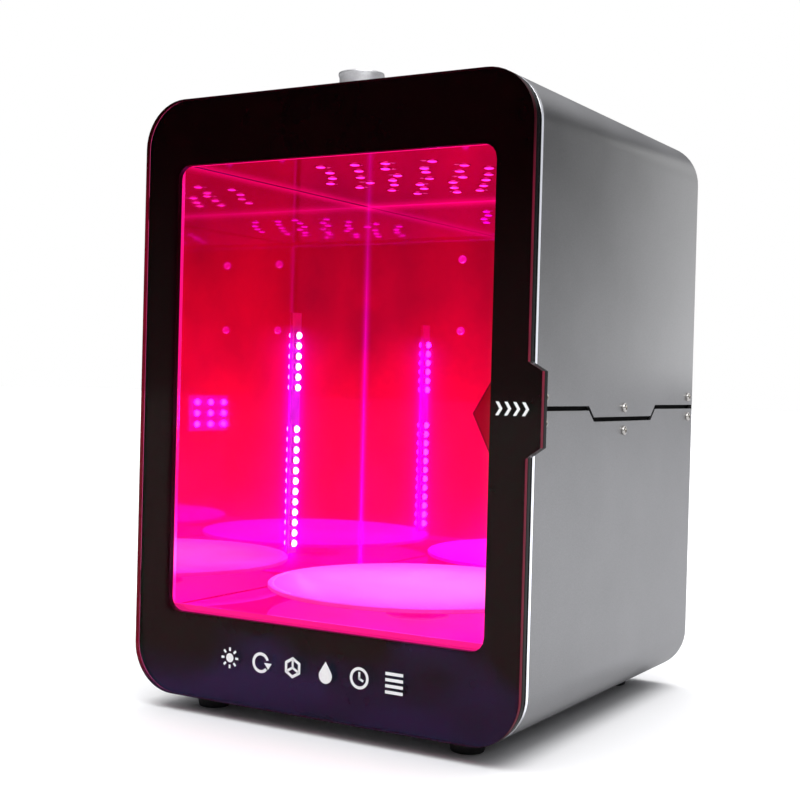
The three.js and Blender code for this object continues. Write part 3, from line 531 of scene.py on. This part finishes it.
def finish_cad_nodes():
    """Every CAD node gets its material, and all but the flat sheets get soft edges and smooth curves."""
    for name, obj in nodes.items():
        material = MATERIALS.get(name, MATERIALS[SLOT_OF[name]])
        obj.data.materials.clear()
        obj.data.materials.append(material)
        if name in FLAT_SHEETS:
            for polygon in obj.data.polygons:
                polygon.use_smooth = False
        else:
            soften(obj, 0.25 * MM)


# ------------------------------------------------------------------ mesh kit


def piece(name, mesh, slot, body, material=None):
    obj = bpy.data.objects.new(name, mesh)
    scene.collection.objects.link(obj)
    obj.data.materials.append(material or MATERIALS[slot])
    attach(obj, body)
    return obj


def mesh_of(name, points, faces, smooth=True):
    mesh = bpy.data.meshes.new(name)
    mesh.from_pydata(points, [], faces)
    for polygon in mesh.polygons:
        polygon.use_smooth = smooth
    mesh.validate()
    mesh.update()
    return mesh


def block_mesh(name, low, high):
    """A plain block between two corners, for small parts whose edges are softened later or don't show."""
    points = [(x, y, z) for x in (low[0], high[0]) for y in (low[1], high[1]) for z in (low[2], high[2])]
    sides = [(0, 1, 3, 2), (4, 6, 7, 5), (0, 4, 5, 1), (2, 3, 7, 6), (0, 2, 6, 4), (1, 5, 7, 3)]
    return mesh_of(name, points, sides, smooth=False)


def in_mm(profile):
    return [(radius * MM, along * MM) for radius, along in profile]


AXES = {
    "z": Matrix.Identity(3),
    "x": Matrix(((0, 0, 1), (1, 0, 0), (0, 1, 0))),
    "y": Matrix(((0, 1, 0), (0, 0, 1), (1, 0, 0))),
}


def revolve(profile, segments=48, axis="z", at=(0, 0, 0), flip=False, shape=None):
    """Points and faces of a turned form. profile lists (radius, distance along the axis) in order.
    shape(i, angle) scales the radius of profile point i, for forms that aren't round."""
    turn = AXES[axis]
    points, faces = [], []
    for i, (radius, along) in enumerate(profile):
        for k in range(segments):
            angle = 2 * math.pi * k / segments
            r = radius * (shape(i, angle) if shape else 1.0)
            local = Vector((r * math.cos(angle), r * math.sin(angle), -along if flip else along))
            points.append(turn @ local + Vector(at))
    for i in range(len(profile) - 1):
        for k in range(segments):
            a, b = i * segments + k, i * segments + (k + 1) % segments
            quad = (a, b, b + segments, a + segments)
            faces.append(tuple(reversed(quad)) if flip else quad)
    return points, faces


def turned_piece(name, profile, slot, body, segments=48, axis="z", at=(0, 0, 0), flip=False, shape=None):
    points, faces = revolve(profile, segments, axis, at, flip, shape)
    obj = piece(name, mesh_of(name, points, faces), slot, body)
    weld = obj.modifiers.new("weld", "WELD")
    weld.merge_threshold = 0.002 * MM
    split = obj.modifiers.new("split", "EDGE_SPLIT")
    split.split_angle = math.radians(38)
    return obj


def circle_outline(cx, cz, radius, steps=40):
    angles = [2 * math.pi * k / steps for k in range(steps)]
    return [(cx + radius * math.cos(a), cz + radius * math.sin(a)) for a in angles]


def plate_mesh(name, outlines, front, thickness):
    """A flat sheet in the front view. outlines are loops of (x, z); loops inside others are holes."""
    curve = bpy.data.curves.new(name, "CURVE")
    curve.dimensions = "2D"
    curve.fill_mode = "BOTH"
    curve.extrude = thickness / 2
    for outline in outlines:
        spline = curve.splines.new("POLY")
        spline.points.add(len(outline) - 1)
        for point, (x, z) in zip(spline.points, outline):
            point.co = (x, z, 0, 1)
        spline.use_cyclic_u = True
    holder = bpy.data.objects.new(name, curve)
    scene.collection.objects.link(holder)
    depsgraph = bpy.context.evaluated_depsgraph_get()
    mesh = bpy.data.meshes.new_from_object(holder.evaluated_get(depsgraph))
    bpy.data.objects.remove(holder)
    turn = Matrix(((1, 0, 0, 0), (0, 0, -1, front + thickness / 2), (0, 1, 0, 0), (0, 0, 0, 1)))
    mesh.transform(turn)
    mesh.materials.clear()
    return mesh


# ------------------------------------------------------------------ screws

HEAD_RADIUS = 2.85 * MM
HEAD_HEIGHT = 1.65 * MM
SOCKET = 1.15 * MM
SHANK_RADIUS = 1.4 * MM
SHANK_LENGTH = 4 * MM
SEAT_GAP = 0.1 * MM


def screw(name, axis, at, flip, slot="nickel_steel", scale=1.0):
    """Button-head screw with a hexagonal socket, its head's underside at the given point."""
    r, h, s = HEAD_RADIUS * scale, HEAD_HEIGHT * scale, SOCKET * scale
    profile = [(0, -SHANK_LENGTH), (SHANK_RADIUS, -SHANK_LENGTH), (SHANK_RADIUS, 0)]
    profile += [(r * 0.97, 0), (r, 0.15 * h), (r, 0.28 * h)]
    for k in range(1, 7):
        angle = math.radians(15 * k)
        profile.append((s * 1.35 + (r - s * 1.35) * math.cos(angle), h * (0.28 + 0.72 * math.sin(angle))))
    first_hex = len(profile)
    profile += [(s, h * 0.97), (s, h * 0.35), (s * 0.6, h * 0.25), (0, h * 0.2)]

    def hexagon(i, angle):
        if i < first_hex or i >= first_hex + 2:
            return 1.0
        return 1.0 / math.cos((angle % (math.pi / 3)) - math.pi / 6)

    return turned_piece(name, profile, slot, "case", 36, axis, at, flip, hexagon)


def build_screws():
    for side, flip in (("left", True), ("right", False)):
        for level in ("upper", "lower"):
            for place in ("front", "middle", "rear"):
                node = f"side_screw_{side}_{place}_{level}"
                centre = middle(node)
                seat = CASE_HIGH.x + SEAT_GAP
                at = (-seat if flip else seat, centre.y, centre.z)
                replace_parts(screw(f"{node}_detail", "x", at, flip), node)
    for level in ("upper", "lower"):
        for side in ("left", "right"):
            node = f"fan_screw_{level}_{side}"
            centre = middle(node)
            detail = screw(f"{node}_detail", "y", (centre.x, CHAMBER_BACK - SEAT_GAP, centre.z), True)
            detail.data.materials[0] = MATERIALS["lit_nickel"]
            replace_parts(detail, node)


# ------------------------------------------------------------------ LEDs

LED_SIZE = 5.1 * MM
LENS_RADIUS = 2.35 * MM
LENS_HEIGHT = 2.2 * MM
BODY_TOP = 1.5 * MM
BOARD_THICKNESS = 0.8 * MM
STRIP_PITCH = 7 * MM
STRIP_FIRST = STRIP_HIGH.z - 15.3 * MM
STRIP_POSITIONS = [*range(6), *range(9, 21)]
PANEL_PITCH_Y = 18 * MM
PANEL_PITCH_Z = 9.4 * MM


def led(name, at, normal, glow):
    """One packaged LED: a white body with a domed lens on the side that faces the chamber."""
    half = LED_SIZE / 2
    shoulder = BODY_TOP - 0.2 * MM
    body = [(0, 0), (half * 1.15, 0), (half * 1.15, shoulder), (half * 0.95, BODY_TOP), (0, BODY_TOP)]
    flip = normal < 0

    def squarish(i, angle):
        return min(1.0 / max(abs(math.cos(angle)), abs(math.sin(angle))), 1.22) * 0.87

    turned_piece(f"{name}_body", body, "led_board", "case", 32, "x", at, flip, squarish)
    foot = BODY_TOP - 0.05 * MM
    lens = [(0, foot), (LENS_RADIUS, foot)]
    for k in range(1, 6):
        angle = math.radians(18 * k)
        lens.append((LENS_RADIUS * math.cos(angle), BODY_TOP + LENS_HEIGHT * math.sin(angle)))
    obj = turned_piece(f"{name}_lens", lens, "led_board", "case", 20, "x", at, flip)
    obj.data.materials[0] = MATERIALS[glow]


def build_leds():
    """The strip on the left wall, with a gap of three places, and the panel of nine on the right."""
    for k, step in enumerate(STRIP_POSITIONS):
        at = (STRIP_LOW.x + BOARD_THICKNESS, STRIP_Y, STRIP_FIRST - step * STRIP_PITCH)
        led(f"strip_led_{k}", at, 1, "led_bright")
    centre = (LEDS_LOW + LEDS_HIGH) / 2
    for row in (-1, 0, 1):
        for column in (-1, 0, 1):
            y = centre.y + column * PANEL_PITCH_Y
            z = centre.z + row * PANEL_PITCH_Z
            at = (LEDS_HIGH.x - BOARD_THICKNESS, y, z)
            led(f"panel_led_{row + 1}_{column + 1}", at, -1, "led_panel")


CEILING_PITCH = (22.5 * MM, 19.5 * MM)
CEILING_REACH = 70 * MM
CEILING_SCATTER = 4 * MM


def ceiling_places():
    """Staggered rows of LEDs within a circle, each a little off its place, as hand-set LEDs are."""
    board = middle("ceiling_led_board")
    rng = random.Random(4)
    places = []
    for row in range(-4, 5):
        offset = (row % 2) * CEILING_PITCH[0] / 2
        for column in range(-5, 6):
            x, y = column * CEILING_PITCH[0] + offset, row * CEILING_PITCH[1]
            if math.hypot(x, y) <= CEILING_REACH + 1e-6:
                shift_x = rng.uniform(-1, 1) * CEILING_SCATTER
                shift_y = rng.uniform(-1, 1) * CEILING_SCATTER
                places.append((x + board.x + shift_x, y + board.y + shift_y))
    return places


def build_ceiling_lights():
    """Low lenses that look down through the ceiling, each in a thin bezel."""
    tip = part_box("ceiling_led_board")[0].z
    lens = [(0, -1.2), (2.85, -1.2), (2.85, 0.1), (2.6, 0.4), (1.6, 0.7), (0, 0.8)]
    bezel = [(2.95, 0), (3.9, 0), (3.9, 0.3), (2.95, 0.3), (2.95, 0)]
    for k, (x, y) in enumerate(ceiling_places()):
        at, under = (x, y, tip), (x, y, CHAMBER_CEILING)
        obj = turned_piece(f"ceiling_led_{k}", in_mm(lens), "led_board", "case", 20, "z", at, True)
        obj.data.materials[0] = MATERIALS["led_soft"]
        turned_piece(f"ceiling_bezel_{k}", in_mm(bezel), "nickel_steel", "case", 20, "z", under, True)


# ------------------------------------------------------------------ turned replacements


def build_turntable():
    """White disc with softened edges and a fine groove near its rim."""
    r = DISC_RADIUS
    low, high = DISC_LOW.z, DISC_HIGH.z
    edge = 0.6 * MM
    profile = [(0, low), (r - edge, low), (r, low + edge), (r, high - edge), (r - edge, high)]
    profile += [(r - 3 * MM, high), (r - 3.4 * MM, high - 0.25 * MM), (r - 4 * MM, high - 0.25 * MM)]
    profile += [(r - 4.4 * MM, high), (0, high)]
    at = (DISC_CENTRE.x, DISC_CENTRE.y, 0)
    disc = turned_piece("turntable_disc_detail", profile, "white_disc", "turntable", 160, "z", at)
    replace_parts(disc, "turntable_disc")


# The index line, from the knob's axis at its top: how wide, how far forward, and how deep.
KNOB_INDEX = {"width": 0.9 * MM, "y": (-9.6 * MM, -3.0 * MM), "z": (-0.72 * MM, -0.45 * MM)}


def build_knob():
    """Aluminium knob: a plain skirt that flares to a thin rim, with a dished top and an index line."""
    at = middle("timer_knob")
    base, top = KNOB_LOW.z, KNOB_HIGH.z
    rim = (KNOB_HIGH.x - KNOB_LOW.x) / 2
    skirt = rim - 0.6 * MM
    hollow, ceiling = skirt - 2.2 * MM, base + 6 * MM
    profile = [(0, ceiling), (hollow, ceiling), (hollow, base + 0.4 * MM), (hollow + 0.4 * MM, base)]
    profile += [(skirt - 0.4 * MM, base), (skirt, base + 0.4 * MM), (skirt, top - 3 * MM)]
    profile += [(skirt + 0.12 * MM, top - 2.6 * MM), (rim, top - 1.6 * MM), (rim, top - 0.6 * MM)]
    profile += [(rim - 0.2 * MM, top - 0.15 * MM), (rim - 0.6 * MM, top), (rim - 2.0 * MM, top)]
    profile += [(rim - 2.4 * MM, top - 0.5 * MM), (4 * MM, top - 0.7 * MM), (0, top - 0.7 * MM)]
    knob = turned_piece("timer_knob_detail", profile, "turned_aluminium", "knob", 96, "z", (at.x, at.y, 0))
    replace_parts(knob, "timer_knob")
    half = KNOB_INDEX["width"] / 2
    low = (at.x - half, at.y + KNOB_INDEX["y"][0], top + KNOB_INDEX["z"][0])
    high = (at.x + half, at.y + KNOB_INDEX["y"][1], top + KNOB_INDEX["z"][1])
    piece("knob_index", block_mesh("knob_index", low, high), "black_plastic", "knob")


def build_feet():
    """Rubber feet: a tapered cup with a hollow sole, and a stud that goes up into the case."""
    sole, taper_top = 9.2 * MM, 0.5 * MM
    seat = CASE_LOW.z - SEAT_GAP
    for side in ("left", "right"):
        for place in ("front", "rear"):
            node = f"foot_{place}_{side}"
            low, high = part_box(node)
            at = ((low.x + high.x) / 2, (low.y + high.y) / 2, 0)
            top = (high.x - low.x) / 2
            profile = [(0, 0.9 * MM), (5.5 * MM, 0.9 * MM), (6.2 * MM, 0.1 * MM), (6.6 * MM, 0)]
            profile += [(sole - 1.1 * MM, 0), (sole - 0.3 * MM, 0.3 * MM), (sole, 1 * MM)]
            profile += [(top - taper_top, seat - 1.6 * MM), (top, seat - 1.2 * MM), (top, seat - 0.3 * MM)]
            profile += [(top - 0.4 * MM, seat), (2.4 * MM, seat), (2.4 * MM, high.z - 1 * MM), (0, high.z)]
            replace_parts(turned_piece(f"{node}_detail", profile, "rubber", "case", 64, "z", at), node)


# ------------------------------------------------------------------ door print


def arc_band(radius, width, start, end, steps=28):
    """A band along a circle's arc, from one angle to another."""
    outer, inner = [], []
    for k in range(steps + 1):
        angle = math.radians(start + (end - start) * k / steps)
        for side, loop in ((1, outer), (-1, inner)):
            r = radius + side * width / 2
            loop.append((r * math.cos(angle), r * math.sin(angle)))
    return outer + inner[::-1]


def bar(ax, az, bx, bz, width):
    """A straight stroke between two points."""
    a, b = Vector((ax, az)), Vector((bx, bz))
    direction = (b - a).normalized()
    side = Vector((-direction.y, direction.x)) * width / 2
    return [tuple(corner) for corner in (a + side, b + side, b - side, a - side)]


# Each icon is drawn in units of 1 mm, within about 6 of its centre, as loops of (x, z).
LINE = 1.7


def sun_icon():
    loops = [circle_outline(0, 0, 2.6)]
    for k in range(8):
        a = math.radians(45 * k)
        loops.append(bar(3.9 * math.cos(a), 3.9 * math.sin(a), 6 * math.cos(a), 6 * math.sin(a), 1.3))
    return loops


def turn_icon():
    tip = [(5.0 + dx, dz) for dx, dz in ((-2.6, 0.2), (2.6, 0.2), (0.2, -3.4))]
    return [arc_band(5, LINE, 20, 320), tip]


def cube_icon():
    angles = [math.radians(60 * k + 30) for k in range(6)]
    corners = [(6 * math.cos(a), 6 * math.sin(a)) for a in angles]
    inner = [(x * 0.7, z * 0.7) for x, z in corners]
    spokes = [bar(0, 0, x * 0.8, z * 0.8, LINE * 0.8) for x, z in (corners[1], corners[3], corners[5])]
    return [corners, inner], spokes


def clock_icon():
    hands = [bar(0, -0.6, 0, 3.4, 1.3), bar(-0.5, 0, 2.6, -1.4, 1.3)]
    return [circle_outline(0, 0, 6), circle_outline(0, 0, 4.4)], hands


def drop_icon():
    outline = [(0, 6.2)]
    for k in range(25):
        angle = math.radians(35 - 250 * k / 24)
        outline.append((4.3 * math.cos(angle), -1.7 + 4.3 * math.sin(angle)))
    return [outline]


def layers_icon():
    return [bar(-5.5, z, 5.5, z, LINE) for z in (-5, -1.7, 1.6, 4.9)]


PRINT_THICKNESS = 0.06 * MM
PRINT_LIFT = 0.01 * MM


def print_mark(name, groups, x, z):
    """White print on the door's front: each group is a loop with its holes."""
    front = FRONT_Y - PRINT_THICKNESS - PRINT_LIFT
    for k, loops in enumerate(groups):
        outlines = [[(x + px * MM, z + pz * MM) for px, pz in loop] for loop in loops]
        mesh = plate_mesh(f"{name}_{k}", outlines, front, PRINT_THICKNESS)
        piece(f"{name}_{k}", mesh, "foam", "door", MATERIALS["white_print"])


PRINT_Z = CASE_LOW.z + 26.6 * MM
PRINT_SPAN = (-56 * MM, 54 * MM)
PULL_X = 119 * MM
PULL_Z = CASE_LOW.z + 175.2 * MM
CHEVRONS = 4
CHEVRON_PITCH = 5
CHEVRON = [(-1.6, 3.5), (0.2, 3.5), (2.4, 0), (0.2, -3.5), (-1.6, -3.5), (0.6, 0)]


def build_door_print():
    """A row of icons under the window, and chevrons on the pull tab."""
    cube_ring, cube_spokes = cube_icon()
    clock_ring, clock_hands = clock_icon()
    icons = [
        [[loop] for loop in sun_icon()],
        [[loop] for loop in turn_icon()],
        [cube_ring, *[[s] for s in cube_spokes]],
        [[loop] for loop in drop_icon()],
        [clock_ring, *[[h] for h in clock_hands]],
        [[loop] for loop in layers_icon()],
    ]
    for k, groups in enumerate(icons):
        x = PRINT_SPAN[0] + (PRINT_SPAN[1] - PRINT_SPAN[0]) * k / (len(icons) - 1)
        print_mark(f"door_mark_{k}", groups, x, PRINT_Z)
    chevrons = []
    for k in range(CHEVRONS):
        shift = CHEVRON_PITCH * (k - (CHEVRONS - 1) / 2)
        chevrons.append([[(shift + x, z) for x, z in CHEVRON]])
    print_mark("pull_mark", chevrons, PULL_X, PULL_Z)


# ------------------------------------------------------------------ rear details

GUARD_WIRE = 0.85 * MM
GUARD_RING = 28 * MM
GUARD_INNER_RINGS = (21.5 * MM, 15 * MM, 8.5 * MM)
GUARD_EYE = 3.1 * MM
FAN_HOLES = 25 * MM


def wire_ring(name, at, radius):
    """A ring of the guard's wire round the Y axis."""
    points, faces = [], []
    around, across = 72, 10
    for i in range(around):
        a = 2 * math.pi * i / around
        for k in range(across):
            b = 2 * math.pi * k / across
            r = radius + GUARD_WIRE * math.cos(b)
            local = Vector((r * math.cos(a), r * math.sin(a), GUARD_WIRE * math.sin(b)))
            points.append(AXES["y"] @ local + Vector(at))
    for i in range(around):
        this, following = i * across, (i + 1) % around * across
        for k in range(across):
            after = (k + 1) % across
            faces.append((this + k, following + k, following + after, this + after))
    return piece(name, mesh_of(name, points, faces), "black_steel", "case")


def build_fan_guard():
    """Wire guard: four rings welded on a cross of wires that ends in four screw eyes."""
    at = middle("fan_guard")
    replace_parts(wire_ring("fan_guard_detail", at, GUARD_RING), "fan_guard")
    for k, radius in enumerate(GUARD_INNER_RINGS):
        wire_ring(f"fan_guard_ring_{k}", at, radius)
    length = GUARD_RING - 0.5 * MM
    for k, (sx, sz) in enumerate(((1, 1), (1, -1), (-1, -1), (-1, 1))):
        angle = math.atan2(sz, sx)
        points, faces = revolve([(0, 0), (GUARD_WIRE, 0), (GUARD_WIRE, length), (0, length)], 12)
        turn = Matrix.Rotation(-angle, 3, "Y") @ Matrix.Rotation(math.radians(90), 3, "Y")
        start = Vector((math.cos(angle), 0, math.sin(angle))) * 5 * MM
        points = [turn @ p + start + Vector((at.x, at.y - GUARD_WIRE, at.z)) for p in points]
        piece(f"fan_guard_spoke_{k}", mesh_of(f"fan_guard_spoke_{k}", points, faces), "black_steel", "case")
        eye = (at.x + sx * FAN_HOLES, at.y, at.z + sz * FAN_HOLES)
        wire_ring(f"fan_guard_eye_{k}", eye, GUARD_EYE)
        seat = (eye[0], PANEL_REAR + 2 * GUARD_WIRE, eye[2])
        screw(f"fan_guard_screw_{k}", "y", seat, False, "black_steel")


BLADES = 7
BLADE_ROOT = 12.2 * MM
BLADE_TIP = 26.2 * MM
BLADE_CHORD = 17 * MM
BLADE_CAMBER = 1.8 * MM
BLADE_HALF_THICKNESS = 0.6 * MM


def build_fan_rotor():
    """Curved blades on a cap, inside the housing."""
    at = middle("fan_rotor")
    low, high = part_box("fan_rotor")
    length = high.y - low.y
    cap = [(0, 0), (11.5 * MM, 0), (12.5 * MM, 1 * MM), (12.5 * MM, length), (0, length)]
    hub = turned_piece("fan_rotor_detail", cap, "black_plastic", "fan", 48, "y", (at.x, low.y, at.z))
    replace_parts(hub, "fan_rotor")
    for k in range(BLADES):
        name = f"fan_blade_{k}"
        piece(name, blade_mesh(name, at, 2 * math.pi * k / BLADES), "black_plastic", "fan")


def blade_mesh(name, at, start):
    """One closed blade. It twists from a steep root to a flatter tip, and its chord is cambered."""
    across, along = 8, 6
    points, faces = [], []
    for side in (-1, 1):
        for i in range(along + 1):
            r = BLADE_ROOT + (BLADE_TIP - BLADE_ROOT) * i / along
            pitch = math.radians(52 - 20 * i / along)
            for j in range(across + 1):
                chord = (j / across - 0.5) * BLADE_CHORD
                camber = BLADE_CAMBER * (1 - (2 * j / across - 1) ** 2)
                angle = start + chord * math.cos(pitch) / r
                depth = chord * math.sin(pitch) + camber + side * BLADE_HALF_THICKNESS
                points.append((at.x + r * math.cos(angle), at.y + depth, at.z + r * math.sin(angle)))
    row, layer = across + 1, (along + 1) * (across + 1)

    def wall(a, b, reverse):
        quad = (a, b, b + layer, a + layer)
        faces.append(quad[::-1] if reverse else quad)

    for i in range(along):
        for j in range(across):
            a = i * row + j
            faces.append((a, a + 1, a + row + 1, a + row))
            faces.append((layer + a, layer + a + row, layer + a + row + 1, layer + a + 1))
    for i in range(along):
        wall(i * row, (i + 1) * row, False)
        wall(i * row + across, (i + 1) * row + across, True)
    for j in range(across):
        wall(j, j + 1, True)
        wall(along * row + j, along * row + j + 1, False)
    return mesh_of(name, points, faces)


def build_power_inlet():
    """Barrel inlet: a round body with a flange, a bore, and a brass pin in it."""
    low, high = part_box("dc_jack")
    at = ((low.x + high.x) / 2, 0, (low.z + high.z) / 2)
    seat = PANEL_REAR + SEAT_GAP
    mouth, bottom = high.y, high.y - 9 * MM
    body, flange, bore = 5.5 * MM, 7.5 * MM, 3.2 * MM
    profile = [(0, low.y), (body, low.y), (body, seat), (flange - 0.3 * MM, seat), (flange, seat + 0.3 * MM)]
    profile += [(flange, mouth - 0.6 * MM), (flange - 0.5 * MM, mouth - 0.1 * MM)]
    profile += [(flange - 0.9 * MM, mouth), (bore + 0.4 * MM, mouth), (bore, mouth - 0.4 * MM)]
    profile += [(bore, bottom), (0, bottom)]
    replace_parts(turned_piece("dc_jack_detail", profile, "black_plastic", "case", 64, "y", at), "dc_jack")
    pin, foot = 1.05 * MM, bottom - 0.2 * MM
    profile = [(0, foot), (pin, foot), (pin, mouth - 1.5 * MM), (0.7 * MM, mouth - 1 * MM)]
    profile += [(0, mouth - 0.9 * MM)]
    obj = turned_piece("dc_jack_pin", profile, "black_plastic", "case", 24, "y", at)
    obj.data.materials[0] = MATERIALS["brass"]


REAR_SCREW_INSET = 9 * MM
REAR_SCREW_HEIGHTS = {"low": 40 * MM, "mid_low": 158 * MM, "mid_high": 187 * MM, "high": 318 * MM}


def build_rear_screws():
    for side, x in (("left", -CASE_HIGH.x + REAR_SCREW_INSET), ("right", CASE_HIGH.x - REAR_SCREW_INSET)):
        for level, height in REAR_SCREW_HEIGHTS.items():
            at = (x, PANEL_REAR + 0.05 * MM, CASE_LOW.z + height)
            screw(f"rear_screw_{side}_{level}", "y", at, False)


SEAM_REAR_Z = CASE_LOW.z + 175.9 * MM
SEAM_GAP = 2.5 * MM
PLUG_DEPTH = 1.45 * MM
PLUG_LENGTH = 6.8 * MM


def build_seam_plugs():
    """A small rubber plug fills the rear end of each seam groove, just short of the back of the shell."""
    half = SEAM_GAP / 2 + 0.3 * MM
    rear = SHELL_REAR - 0.2 * MM
    outer = CASE_HIGH.x - 0.05 * MM
    inner = outer - PLUG_DEPTH
    for side, (x0, x1) in (("left", (-outer, -inner)), ("right", (inner, outer))):
        name = f"seam_plug_{side}"
        low = (x0, rear - PLUG_LENGTH, SEAM_REAR_Z - half)
        high = (x1, rear, SEAM_REAR_Z + half)
        plug = piece(name, block_mesh(name, low, high), "rubber", "case")
        # The plugs take the seam's painted-shade black.
        plug.data.materials[0] = MATERIALS["seam_rail_left"]
        soften(plug, 0.15 * MM)


LEAF_THICKNESS = 1.5 * MM


def build_hinge_screws():
    face = -CASE_HIGH.x - LEAF_THICKNESS
    for hinge in ("hinge_lower", "hinge_upper"):
        low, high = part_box(f"{hinge}_body_leaf")
        for k, z in enumerate((low.z + 8 * MM, (low.z + high.z) / 2, high.z - 8 * MM)):
            screw(f"{hinge}_screw_{k}", "x", (face - 0.02 * MM, high.y - 9 * MM, z), True, scale=0.85)


# ------------------------------------------------------------------ build

finish_cad_nodes()
build_screws()
build_leds()
build_ceiling_lights()
build_turntable()
build_knob()
build_feet()
build_door_print()
build_fan_guard()
build_fan_rotor()
build_power_inlet()
build_rear_screws()
build_seam_plugs()
build_hinge_screws()

# ------------------------------------------------------------------ studio

FLOOR_HALF = 12.0
FLOOR_SHADE_IN_REFLECTIONS = (0.48, 0.48, 0.49, 1)


def build_floor():
    """A pale floor. Glossy rays see it greyer: painted shade, which dims the floor in reflections."""
    half = FLOOR_HALF
    corners = [(-half, -half, 0), (half, -half, 0), (half, half, 0), (-half, half, 0)]
    floor = bpy.data.objects.new("floor", mesh_of("floor", corners, [(0, 1, 2, 3)]))
    scene.collection.objects.link(floor)
    n = Surface("floor")
    tone = n.ramp(n.noise(3, 2.0), [(0.3, (0.88, 0.88, 0.885)), (0.7, (0.9, 0.9, 0.905))])
    n.set(Base_Color=tone, Roughness=0.9, Specular_IOR_Level=0.1)
    # Painted shade: glossy rays see this greyer copy of the floor.
    dimmer = n.add("ShaderNodeBsdfDiffuse", ("Color", FLOOR_SHADE_IN_REFLECTIONS))
    reflected = n.add("ShaderNodeLightPath").outputs["Is Glossy Ray"]
    mix = n.add("ShaderNodeMixShader", (0, reflected), (1, n.bsdf.outputs[0]), (2, dimmer.outputs[0]))
    n.show(mix.outputs[0])
    floor.data.materials.append(n.material)


def add_light(name, kind, energy, place, aim):
    light = bpy.data.lights.new(name, kind)
    light.energy = energy
    obj = bpy.data.objects.new(name, light)
    obj.location = place
    obj.rotation_euler = (Vector(aim) - Vector(place)).to_track_quat("-Z", "Y").to_euler()
    scene.collection.objects.link(obj)
    return obj


def add_card(name, energy, place, aim, size):
    """A lit card that shows in glossy surfaces only."""
    card = add_light(name, "AREA", energy, place, aim)
    card.data.shape = "RECTANGLE"
    card.data.size, card.data.size_y = size
    card.visible_camera = False
    card.visible_diffuse = False


def build_lights():
    """A broad soft sun from above, and two cards: on the side's rear edge, and on the door from afar."""
    overhead = add_light("overhead", "SUN", 3.1, place=(0, 0, 3), aim=(0, 0, 0))
    overhead.data.angle = math.radians(70)
    overhead.visible_glossy = False
    add_card("rear_card", 0.07, place=(0.2, 0.36, 0.33), aim=(0.13, 0.12, 0.3), size=(0.12, 0.26))
    add_card("front_card", 26, place=(1.25, -1.2, 1.5), aim=(0, 0, 0.36), size=(2.2, 1.0))


# How bright the room is by height: 0 straight down, 0.5 at the horizon, 1 straight up.
ROOM_STOPS = [
    (0.0, 0.42),
    (0.5, 0.4),
    (0.535, 0.28),
    (0.58, 0.05),
    (0.665, 0.04),
    (0.74, 0.45),
    (0.83, 0.95),
    (1.0, 1.0),
]
BRIGHTER_SIDE = (0.51, 0.86, 0.0)


def build_world():
    """White to the eye. For other rays it is a dim room, pale near the floor and overhead, and a
    little dimmer on the side away from BRIGHTER_SIDE."""
    world = bpy.data.worlds.new("studio")
    world.use_nodes = True
    world.node_tree.nodes.clear()
    n = Nodes(world.node_tree)
    direction = n.add("ShaderNodeTexCoord").outputs["Generated"]
    upward = n.add("ShaderNodeSeparateXYZ", (0, direction)).outputs[2]
    stops = [(position, (value, value, value * 1.03)) for position, value in ROOM_STOPS]
    level = n.ramp(n.span(upward, -1.0, 1.0, 0.0, 1.0), stops)
    toward = n.add("ShaderNodeVectorMath", (0, direction), (1, BRIGHTER_SIDE), operation="DOT_PRODUCT")
    strength = n.span(toward.outputs["Value"], -0.8, -0.2, 0.8, 1.0, "SMOOTHSTEP")
    room = n.add("ShaderNodeBackground", ("Color", level), ("Strength", strength))
    white = n.add("ShaderNodeBackground", ("Color", (1, 1, 1, 1)), ("Strength", 1.0))
    seen = n.add("ShaderNodeLightPath").outputs["Is Camera Ray"]
    mix = n.add("ShaderNodeMixShader", (0, seen), (1, room.outputs[0]), (2, white.outputs[0]))
    n.add("ShaderNodeOutputWorld", ("Surface", mix.outputs[0]))
    scene.world = world


CAMERA_EYE = (1.207, -1.774, 0.536)
CAMERA_AZIMUTH = math.radians(30.744)
CAMERA_PITCH = math.radians(0.780)
CAMERA_ROLL = math.radians(1.477)
CAMERA_LENS = 61.19


def build_camera():
    """CAMERA_EYE is in case heights, from the middle of the door's lower edge."""
    data = bpy.data.cameras.new("camera")
    data.sensor_width = 36.0
    data.lens = CAMERA_LENS
    data.clip_start = 0.01
    data.clip_end = 50.0
    camera = bpy.data.objects.new("camera", data)
    scene.collection.objects.link(camera)
    level = Vector((-math.sin(CAMERA_AZIMUTH), math.cos(CAMERA_AZIMUTH), 0))
    forward = level * math.cos(CAMERA_PITCH) - Vector((0, 0, math.sin(CAMERA_PITCH)))
    right = forward.cross(Vector((0, 0, 1))).normalized()
    up = right.cross(forward)
    tilted_right = math.cos(CAMERA_ROLL) * right + math.sin(CAMERA_ROLL) * up
    tilted_up = -math.sin(CAMERA_ROLL) * right + math.cos(CAMERA_ROLL) * up
    matrix = Matrix((tilted_right, tilted_up, -forward)).transposed().to_4x4()
    matrix.translation = Vector((0, FRONT_Y, CASE_LOW.z)) + Vector(CAMERA_EYE) * CASE_HEIGHT
    camera.matrix_world = matrix
    scene.camera = camera


build_floor()
build_world()
build_lights()
build_camera()
scene.view_settings.view_transform = "Standard"
